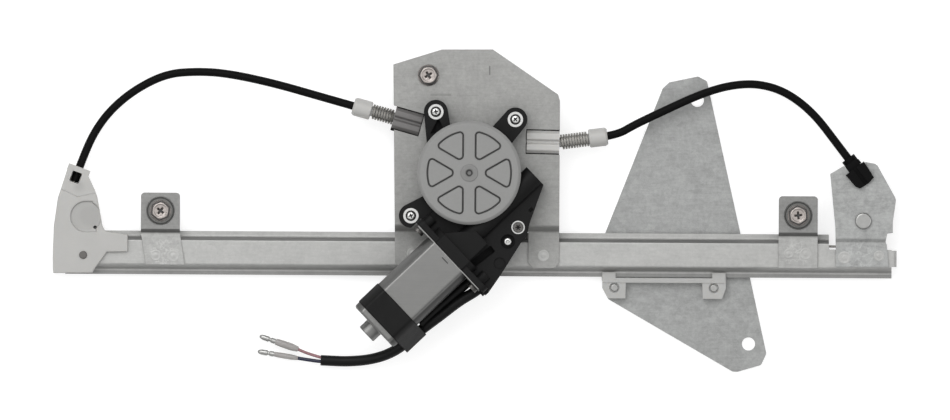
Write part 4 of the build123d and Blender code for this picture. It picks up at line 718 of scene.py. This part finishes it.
def softened(node, finish, width):
    """A copy of a solid with its edges rounded as far as its shape allows, which stands for it."""
    solid = NODES[node].data
    surface = BVHTree.FromPolygons(
        [vertex.co for vertex in solid.vertices], [list(face.vertices) for face in solid.polygons]
    )

    def strays(piece, reach):
        """The vertices that left the solid by more than its rounding takes off."""
        return [v.index for v in piece.data.vertices if surface.find_nearest(v.co)[3] > reach * STRAY_REACH]

    for share in ROUNDING_SHARES:
        piece = rounded_copy(node, width * share)
        if not strays(piece, width * share):
            return finished(piece, finish, BODIES[node], node)
        bpy.data.objects.remove(piece)
    # Where two roundings meet at a very flat angle, their corner goes back onto the solid
    width *= SHARE_WITH_STRAYS
    piece = rounded_copy(node, width)
    group = piece.vertex_groups.new(name="strays")
    group.add(strays(piece, width), 1.0, "REPLACE")
    modify(piece, "SHRINKWRAP", target=NODES[node], vertex_group="strays")
    piece.vertex_groups.remove(piece.vertex_groups["strays"])
    even_shading(piece)
    return finished(piece, finish, BODIES[node], node)


def drawn_out(piece, steps):
    """Draws a disc out along its axis, by (rise, scale, height) in millimetres, its faces outwards."""
    with editing(piece):
        bpy.ops.mesh.select_all(action="SELECT")
        for rise, scale, height in steps:
            bpy.ops.mesh.extrude_region_move(TRANSFORM_OT_translate={"value": (0.0, 0.0, rise * MM)})
            bpy.ops.transform.resize(value=(scale, scale, 1.0), center_override=(0.0, 0.0, height * MM))
        bpy.ops.mesh.select_all(action="SELECT")
        bpy.ops.mesh.normals_make_consistent(inside=False)


def turned(name, profile, place, sides=48):
    """A turned piece: a disc drawn out and scaled along its axis, by (height, radius) in millimetres."""
    height, radius = profile[0]
    piece = primitive(
        bpy.ops.mesh.primitive_circle_add, name, vertices=sides, radius=radius * MM, fill_type="NGON",
        location=(0.0, 0.0, height * MM),
    )
    drawn_out(piece, [
        (high - low, after / before, high) for (low, before), (high, after) in zip(profile, profile[1:])
    ])
    only(piece)
    bpy.ops.object.shade_smooth_by_angle(angle=math.radians(35))
    return placed(piece, place)


def strand(name, points, diameter, finish, body, *nodes):
    """A round cord on one smooth spline."""
    curve = bpy.data.curves.new(name, "CURVE")
    curve.dimensions = "3D"
    curve.bevel_depth = diameter / 2
    curve.bevel_resolution = 6
    curve.use_fill_caps = True
    spline = curve.splines.new("NURBS")
    spline.points.add(len(points) - 1)
    for point, place in zip(spline.points, points):
        point.co = (*place, 1.0)
    spline.order_u = 3
    spline.use_endpoint_u = True
    spline.resolution_u = 12
    piece = bpy.data.objects.new(name, curve)
    bpy.context.scene.collection.objects.link(piece)
    return finished(piece, finish, body, *nodes)


def combined(piece, tool, operation):
    """Joins a piece with a tool, cuts it with the tool or keeps what they share; the tool goes."""
    modify(piece, "BOOLEAN", object=tool, operation=operation, solver="EXACT")
    bpy.data.objects.remove(tool)


def recess_cutter(name, length, width, depth, top, count=2):
    """Crossed wedges that leave a cross or a star under a height, in millimetres."""
    bars = []
    for index in range(count):
        bar = primitive(
            bpy.ops.mesh.primitive_cube_add, name, (length * MM, width * MM, (depth + 1.0) * MM),
            index * math.pi / count, size=1.0, location=(0.0, 0.0, (top - depth / 2 + 0.5) * MM),
        )
        with editing(bar, "VERT") as shape:
            for vertex in shape.verts:
                vertex.select_set(vertex.co.z < (top - depth / 2) * MM)
            bmesh.update_edit_mesh(bar.data)
            bpy.ops.transform.resize(value=(0.45, 0.45, 1.0), center_override=(0.0, 0.0, (top - depth) * MM))
        bars.append(bar)
    for bar in bars[1:]:
        combined(bars[0], bar, "UNION")
    return bars[0]


def recess_shadow_disc(radius, low, high):
    """A dark disc at the bottom of a recess, standing for its painted shade, in millimetres."""
    return turned("recess_shadow_disc", ((low, radius), (high, radius)), ORIGIN, 24)


def repeated(model, places):
    """Copies of a piece, each with its own mesh, at the places; the model goes."""
    copies = []
    for place in places:
        only(model)
        bpy.ops.object.duplicate()
        copies.append(placed(added(model.name), place))
    bpy.data.objects.remove(model)
    return copies


# The pieces, one operator each
class REGULATOR_OT_sheaths(bpy.types.Operator):
    """Add the two cable sheaths"""

    bl_idname = "regulator.sheaths"
    bl_label = "Cable Sheaths"

    def execute(self, context):
        size = context.scene.regulator_sizes.sheath
        for side, route in (("left", LEFT_SHEATH_ROUTE), ("right", RIGHT_SHEATH_ROUTE)):
            piece = strand(f"{side}_sheath", route, size, "sheath", "regulator", f"{side}_conduit")
        return {"FINISHED"}


class REGULATOR_OT_lead(bpy.types.Operator):
    """Add the motor lead with its wires, boots and bullet terminals"""

    bl_idname = "regulator.lead"
    bl_label = "Motor Lead"

    def execute(self, context):
        sizes = context.scene.regulator_sizes
        sleeve = strand("lead_sleeve_run", LEAD_ROUTE, sizes.lead, "sleeve", "regulator", "lead_sleeve")
        on_lead, boots, terminals = [], [], []
        for name, finish, diameter, thick, points, tip in WIRES:
            route = [Vector(point) * MM for point in points]
            wire = strand(f"{name}_wire_run", route, diameter * MM, finish, "regulator", f"{name}_wire")
            on_lead.append(wire)
            place = facing(route[-1], Vector(tip) * MM - route[-1])
            boots.append(turned(
                f"{name}_boot",
                ((-1.2, 1.1), (-1.0, thick * 0.72), (1.0, thick * 0.86), (3.0, thick), (9.5, thick),
                 (12.6, thick * 0.94), (13.9, thick * 0.86), (14.1, thick * 0.76)),
                place, 32,
            ))
            terminals.append(turned(
                f"{name}_terminal",
                ((11.5, 1.2), (14.4, 1.3), (14.5, 1.7), (17.0, 1.7), (17.3, 1.25), (18.4, 1.25), (18.8, 1.75),
                 (22.2, 1.75), (23.6, 1.5), (24.6, 1.0), (25.0, 0.4)),
                place, 32,
            ))
        boot = finished(joined(boots, "boots"), "boot", "regulator", "terminal_boots")
        terminal = finished(joined(terminals, "bullet_terminals"), "terminal", "regulator", "wire_terminals")
        dress(lead_grommet="black")
        return {"FINISHED"}


class REGULATOR_OT_sheet_metal(bpy.types.Operator):
    """Finish the rail, plate, brackets and glass carrier and add their spot welds"""

    bl_idname = "regulator.sheet_metal"
    bl_label = "Sheet Metal"

    sheets = (
        ("guide_rail", "rail"), ("left_mount_bracket", "bracket"), ("right_mount_bracket", "bracket"),
        ("pulley_bracket", "end_bracket"), ("motor_plate", "plate"), ("carrier_plate", "carrier"),
    )
    welds = (
        (-204.2, -30.2), (-193.0, -30.5), (200.9, -26.7), (211.8, -26.9), (43.9, -28.9), (-40.2, -27.8),
        (236.5, -29.2), (258.7, -27.9),
    )
    flap_top = 15.3

    def execute(self, context):
        for node, finish in self.sheets:
            softened(node, finish, context.scene.regulator_sizes.sheet_edge)
        radius = context.scene.regulator_sizes.weld / MM
        marks = []
        for index, (x, y) in enumerate(self.welds):
            ring = radius * (1.0 + 0.12 * math.sin(2.3 * index))
            profile = (
                (-0.2, ring), (0.02, ring), (0.16, ring * 0.92), (0.14, ring * 0.78), (0.04, ring * 0.66),
                (0.05, ring * 0.42), (0.22, ring * 0.30), (0.24, ring * 0.12),
            )
            marks.append(turned("weld", profile, place_at(x, y, self.flap_top), 32))
        finished(joined(marks, "spot_welds"), "rail", "regulator", slot="galvanised_steel")
        return {"FINISHED"}


class REGULATOR_OT_bolts(bpy.types.Operator):
    """Add the three flange bolts with their hexagons, cross recesses and shadow lines"""

    bl_idname = "regulator.bolts"
    bl_label = "Mounting Bolts"

    def bolt(self, sizes):
        """One bolt on the origin, its washer's top at zero height."""
        flange = sizes.bolt_flange / MM
        flats = sizes.bolt_flats / MM
        head = turned("bolt_flange", (
            (0.0, flange - 0.2), (0.15, flange), (1.0, flange), (1.5, flange - 0.7), (2.0, flats / 2 + 0.6),
            (2.1, flats / 2 - 1.0),
        ), ORIGIN, 64)
        head_height, head_middle = 4.2, 3.1
        hexagon = primitive(
            bpy.ops.mesh.primitive_cylinder_add, "bolt_hexagon", vertices=6,
            radius=flats / 2 / math.cos(math.pi / 6) * MM, depth=head_height * MM,
            location=(0.0, 0.0, head_middle * MM),
        )
        dome = turned("bolt_dome", (
            (0.5, flats), (4.4, flats * 0.60), (5.2, flats / 2 - 0.2), (5.21, flats / 2 - 0.8),
            (4.8, flats / 2 - 1.2), (4.75, 0.5),
        ), ORIGIN, 64)
        combined(hexagon, dome, "INTERSECT")
        combined(hexagon, recess_cutter("bolt_recess", 6.4, 1.7, 2.4, 5.0), "DIFFERENCE")
        round_edges(hexagon, 0.22 * MM, 30.0)
        height, ridges, root = 0.3, 24, 0.86
        shank = primitive(
            bpy.ops.mesh.primitive_circle_add, "bolt_shank", vertices=40, radius=3.0 * MM, fill_type="NGON",
            location=(0.0, 0.0, height * MM),
        )
        reach = [(-1.9, 1.0)]
        for ridge in range(ridges):
            reach += [(-0.25, root if ridge % 2 == 0 else 1.0 / root), (-0.25, 1.0)]
        reach.append((-0.7, 0.8))
        steps = []
        for rise, scale in reach:
            height += rise
            steps.append((rise, scale, height))
        drawn_out(shank, steps)
        return joined([head, hexagon, shank], "bolt")

    def shadow_line(self, sizes):
        """A painted shadow: the dark line round the foot of a hexagon, and the dark floor of its recess."""
        line = primitive(
            bpy.ops.mesh.primitive_cylinder_add, "bolt_shadow", vertices=6,
            radius=(sizes.bolt_flats / 2 + 0.75 * MM) / math.cos(math.pi / 6), depth=0.5 * MM,
            location=(0.0, 0.0, 1.9 * MM),
        )
        return joined([line, recess_shadow_disc(2.1, 2.2, 2.9)], "bolt_shadow")

    def execute(self, context):
        sizes = context.scene.regulator_sizes
        places = [place_at(*place) for place in BOLT_PLACES]
        copies = repeated(self.bolt(sizes), places)
        finished(joined(copies, "flange_bolts"), "bolt", "regulator", "mount_bolts")
        shadows = repeated(self.shadow_line(sizes), places)
        finished(joined(shadows, "bolt_shadows"), "dark", "regulator", slot=SLOTS["mount_bolts"])
        dress(bolt_washers="bolt_washer", weld_nuts="bright")
        return {"FINISHED"}


class REGULATOR_OT_gearbox(bpy.types.Operator):
    """Finish the gearbox housing, its cover, its screw sleeves and the drum housing"""

    bl_idname = "regulator.gearbox"
    bl_label = "Gearbox"

    def execute(self, context):
        edge = context.scene.regulator_sizes.moulded_edge
        softened("gearbox_housing", "black", edge)
        softened("gear_cover", "cover", edge)
        dress(screw_sleeves="bright", drum_housing="black")
        return {"FINISHED"}


class REGULATOR_OT_screws(bpy.types.Operator):
    """Add the gearbox's screws with their cross and star recesses"""

    bl_idname = "regulator.screws"
    bl_label = "Gearbox Screws"

    ears = ((-25.4, 62.7, 0.2), (25.5, 58.1, 0.75), (-41.0, -3.9, 0.4))

    def screw(self, radius, height, reach, shank, bars):
        """A pan head screw on the origin, with its recess and its shank."""
        head = turned("screw_head", (
            (0.0, radius - 0.1), (0.1, radius), (height * 0.5, radius), (height * 0.78, radius * 0.92),
            (height * 0.95, radius * 0.72), (height, radius * 0.4),
        ), ORIGIN, 40)
        recess = recess_cutter("screw_recess", reach, reach * 0.27, height * 0.6, height, bars)
        combined(head, recess, "DIFFERENCE")
        round_edges(head, 0.08 * MM, 30.0)
        length, thick = shank
        stem = turned(
            "screw_stem", ((-length, thick * 0.5), (0.8 - length, thick), (0.1, thick)), ORIGIN, 24
        )
        return joined([head, stem], "screw")

    def execute(self, context):
        places = [place_at(x, y, SCREW_SEAT, turn) for x, y, turn in self.ears]
        screws = repeated(self.screw(2.8, 3.1, 3.9, (20.0, 2.0), 2), places)
        finished(joined(screws, "ear_screws"), "bright", "regulator", "motor_screws")
        # Painted shade: dark discs in the screws' recesses and round their heads
        recess_shadows = repeated(recess_shadow_disc(1.3, 0.9, 1.7), places)
        recess_shadows += repeated(recess_shadow_disc(3.38, 0.02, 1.4), places)

        upper = Matrix.Translation(beside_motor(-1.25, -17.1, SCREW_SEAT))
        lower = Matrix.Translation(beside_motor(-12.3, -19.2, SCREW_SEAT))
        ring = turned("screw_ring", (
            (0.0, 4.3), (0.1, 4.5), (3.2, 4.5), (3.5, 4.25), (3.5, 3.6), (3.2, 3.3), (1.2, 3.2), (1.2, 0.4),
        ), upper, 48)
        closing = repeated(self.screw(2.75, 3.3, 3.0, (9.0, 1.6), 3), [lower])
        finished(joined([ring, *closing], "closing_screws"), "bright", "regulator", "housing_screws")
        core = turned("star_core", ((1.0, 3.1), (2.2, 3.1), (2.5, 2.8), (2.5, 0.4)), ORIGIN, 40)
        combined(core, recess_cutter("star_recess", 5.0, 1.1, 1.2, 2.5, 3), "DIFFERENCE")
        finished(placed(core, upper), "washer", "regulator", slot=SLOTS["housing_screws"])
        recess_shadows += repeated(recess_shadow_disc(2.3, 1.1, 1.7), [upper])
        finished(joined(recess_shadows, "screw_recess_shadows"), "recess", "regulator", slot=SLOTS["motor_screws"])
        return {"FINISHED"}


class REGULATOR_OT_motor(bpy.types.Operator):
    """Finish the motor can and its tape, and add the tape's tail and the can's bright edge"""

    bl_idname = "regulator.motor"
    bl_label = "Motor"

    def execute(self, context):
        softened("motor_can", "can", 0.4 * MM)
        softened("can_screws", "washer", 0.3 * MM)
        softened("tape_wrap", "tape", 0.5 * MM)
        # The tail of the tape that holds the lead against the can
        start, end = Vector(beside_motor(-47.6, -20.6, 27.0)), Vector(beside_motor(-90.0, -19.0, 27.0))
        tail = turned(
            "tape_tail", ((0.0, 2.6), (0.4, 3.1), (41.6, 3.1), (42.0, 2.6)), facing(start, end - start), 32
        )
        finished(tail, "tape", "regulator", slot=SLOTS["tape_wrap"])
        # The bright edge of the can's flange against the gearbox
        rim = primitive(bpy.ops.mesh.primitive_cube_add, "can_rim", (0.6 * MM, 56.0 * MM, 1.6 * MM), size=1.0)
        round_edges(rim, 0.2 * MM, 30.0)
        turn = Matrix.Rotation(math.atan2(ALONG.y, ALONG.x), 4, "Z")
        placed(rim, Matrix.Translation(beside_motor(-46.9, -0.5, 50.3)) @ turn)
        finished(rim, "terminal", "regulator", slot=SLOTS["motor_can"])
        return {"FINISHED"}


class REGULATOR_OT_mouldings(bpy.types.Operator):
    """Finish the cable guide, the sheath fitting, the ferrules, the caps and the slider"""

    bl_idname = "regulator.mouldings"
    bl_label = "Mouldings"

    rounded = (
        ("left_end_housing", "guide", 1.0), ("conduit_fitting", "fitting", 0.8),
        ("slider_shoe", "frosted", 0.8), ("left_spring_cap", "nylon", 0.8), ("right_spring_cap", "nylon", 0.8),
        ("right_ferrule", "pale_nylon", 1.0), ("left_ferrule", "smoke", 1.0),
    )

    def execute(self, context):
        for node, finish, share in self.rounded:
            softened(node, finish, context.scene.regulator_sizes.moulded_edge * share)
        dress(
            end_pulley="nylon", left_spring="spring", right_spring="spring", housing_rivet="washer",
            pulley_rivet="terminal", slider_rivets="terminal",
        )
        return {"FINISHED"}


class REGULATOR_OT_inner_works(bpy.types.Operator):
    """Finish the drum, the worm drive and the rotor inside the housings"""

    bl_idname = "regulator.inner_works"
    bl_label = "Inner Works"

    finishes = {
        "cable_drum": "nylon", "worm_wheel": "nylon", "drum_windings": "cable", "left_cable": "cable",
        "right_cable": "cable", "cable_nipples": "bright", "output_shaft": "bright", "armature_shaft": "bright",
        "rubber_damper": "black", "rotor_core": "dark", "rotor_windings": "copper", "commutator": "copper",
        "magnets": "dark", "brush_card": "black", "brushes": "dark", "shaft_bearings": "copper",
    }

    def execute(self, context):
        dress(**self.finishes)
        return {"FINISHED"}


class REGULATOR_OT_stage(bpy.types.Operator):
    """Add the floor, the soft light and the camera above the part"""

    bl_idname = "regulator.stage"
    bl_label = "Stage"

    def lamp(self, name, place, size, power):
        """A square area light that looks at the part."""
        bpy.ops.object.light_add(type="AREA", location=place)
        lamp = bpy.context.object
        lamp.name = name
        lamp.data.size = size
        lamp.data.energy = power
        lamp.rotation_euler = (-Vector(place)).to_track_quat("-Z", "Y").to_euler()

    def floor(self):
        """A sheet of white paper under the part, which shines a little where the camera sees it."""
        just_below = (0.0, 0.0, -0.4 * MM)
        floor = primitive(bpy.ops.mesh.primitive_plane_add, "floor", size=6.0, location=just_below)
        with editing(floor):
            bpy.ops.mesh.select_all(action="SELECT")
            bpy.ops.mesh.subdivide(number_cuts=3)
        paper = Finish("white_paper", (0.93, 0.93, 0.93), 0.9)
        paper.shade(paper.noise(60.0, 2.0), 0.995, 1.005)
        rays = paper.node("ShaderNodeLightPath", output="Is Camera Ray")
        paper.set("Emission Color", WHITE)
        glow = paper.node("ShaderNodeEmission", {}, {"Color": WHITE, "Strength": 1.3}, "Emission")
        plain = Value(paper, paper.shader.outputs[0])
        mixed = paper.node("ShaderNodeMixShader", {}, {0: rays * 0.55, 1: plain, 2: glow})
        paper.feed(paper.tree.nodes["Material Output"].inputs["Surface"], mixed)
        floor.data.materials.append(paper.material)

    def sky(self, scene, strength):
        """A sky that lights the part most from overhead, and that the camera sees as plain white."""
        world = bpy.data.worlds.new("studio_white")
        scene.world = world
        world.use_nodes = True
        sky = Tree(world.node_tree)
        rise = sky.node(
            "ShaderNodeSeparateXYZ", {}, {0: sky.node("ShaderNodeTexCoord", output="Generated")}, "Z"
        )
        fade = sky.node("ShaderNodeMapRange", {"interpolation_type": "SMOOTHSTEP"}, {
            "Value": rise, "From Min": 0.05, "From Max": 0.95,
            "To Min": strength * 0.22, "To Max": strength * 1.5,
        })
        background = sky.tree.nodes["Background"]
        sky.feed(background.inputs["Color"], WHITE)
        sky.feed(background.inputs["Strength"], fade)
        light = Value(sky, background.outputs[0])
        seen = sky.node("ShaderNodeBackground", {}, {"Color": WHITE, "Strength": 1.0})
        rays = sky.node("ShaderNodeLightPath", output="Is Camera Ray")
        mixed = sky.node("ShaderNodeMixShader", {}, {0: rays, 1: light, 2: seen})
        sky.feed(sky.tree.nodes["World Output"].inputs["Surface"], mixed)

    def execute(self, context):
        stage = context.scene.regulator_stage
        self.floor()
        self.sky(context.scene, stage.sky)
        self.lamp("key_light", (-0.35, 0.75, 1.25), 1.1, stage.key)
        self.lamp("left_light", (-1.1, -0.2, 0.9), 0.9, stage.fill)
        self.lamp("right_light", (1.1, -0.1, 0.9), 0.9, stage.fill)

        bpy.ops.object.camera_add(location=(0.0, 0.0, stage.height), rotation=(0.0, 0.0, stage.turn))
        camera = bpy.context.object
        camera.name = "camera_above"
        camera.data.type = "ORTHO"
        camera.data.ortho_scale = stage.width
        camera.data.sensor_fit = "HORIZONTAL"
        context.scene.camera = camera
        context.scene.view_settings.view_transform = "Standard"
        return {"FINISHED"}


OPERATORS = (
    REGULATOR_OT_stage, REGULATOR_OT_sheaths, REGULATOR_OT_lead, REGULATOR_OT_sheet_metal,
    REGULATOR_OT_bolts, REGULATOR_OT_gearbox, REGULATOR_OT_screws, REGULATOR_OT_motor,
    REGULATOR_OT_mouldings, REGULATOR_OT_inner_works,
)


class REGULATOR_PT_pieces(bpy.types.Panel):
    """The regulator's pieces, in the 3D view's sidebar"""

    bl_idname = "REGULATOR_PT_pieces"
    bl_label = "Window Regulator"
    bl_space_type = "VIEW_3D"
    bl_region_type = "UI"
    bl_category = "Regulator"

    def draw(self, context):
        layout = self.layout
        for operator in OPERATORS:
            layout.operator(operator.bl_idname)
        for group in (
            context.scene.regulator_sizes, context.scene.regulator_colours, context.scene.regulator_stage
        ):
            for name in group.bl_rna.properties.keys():
                if name not in ("rna_type", "name"):
                    layout.prop(group, name)


CLASSES = (RegulatorSizes, RegulatorColours, RegulatorStage, *OPERATORS, REGULATOR_PT_pieces)


def register():
    """Adds the classes and the settings."""
    for kind in CLASSES:
        bpy.utils.register_class(kind)
    bpy.types.Scene.regulator_sizes = PointerProperty(type=RegulatorSizes)
    bpy.types.Scene.regulator_colours = PointerProperty(type=RegulatorColours)
    bpy.types.Scene.regulator_stage = PointerProperty(type=RegulatorStage)


def unregister():
    """Takes them away again."""
    del bpy.types.Scene.regulator_stage
    del bpy.types.Scene.regulator_colours
    del bpy.types.Scene.regulator_sizes
    for kind in reversed(CLASSES):
        bpy.utils.unregister_class(kind)


def main():
    """Builds the whole dressed part."""
    register()
    make_finishes()
    for operator in OPERATORS:
        family, _, name = operator.bl_idname.partition(".")
        getattr(getattr(bpy.ops, family), name)()


if __name__ == "__main__":
    main()
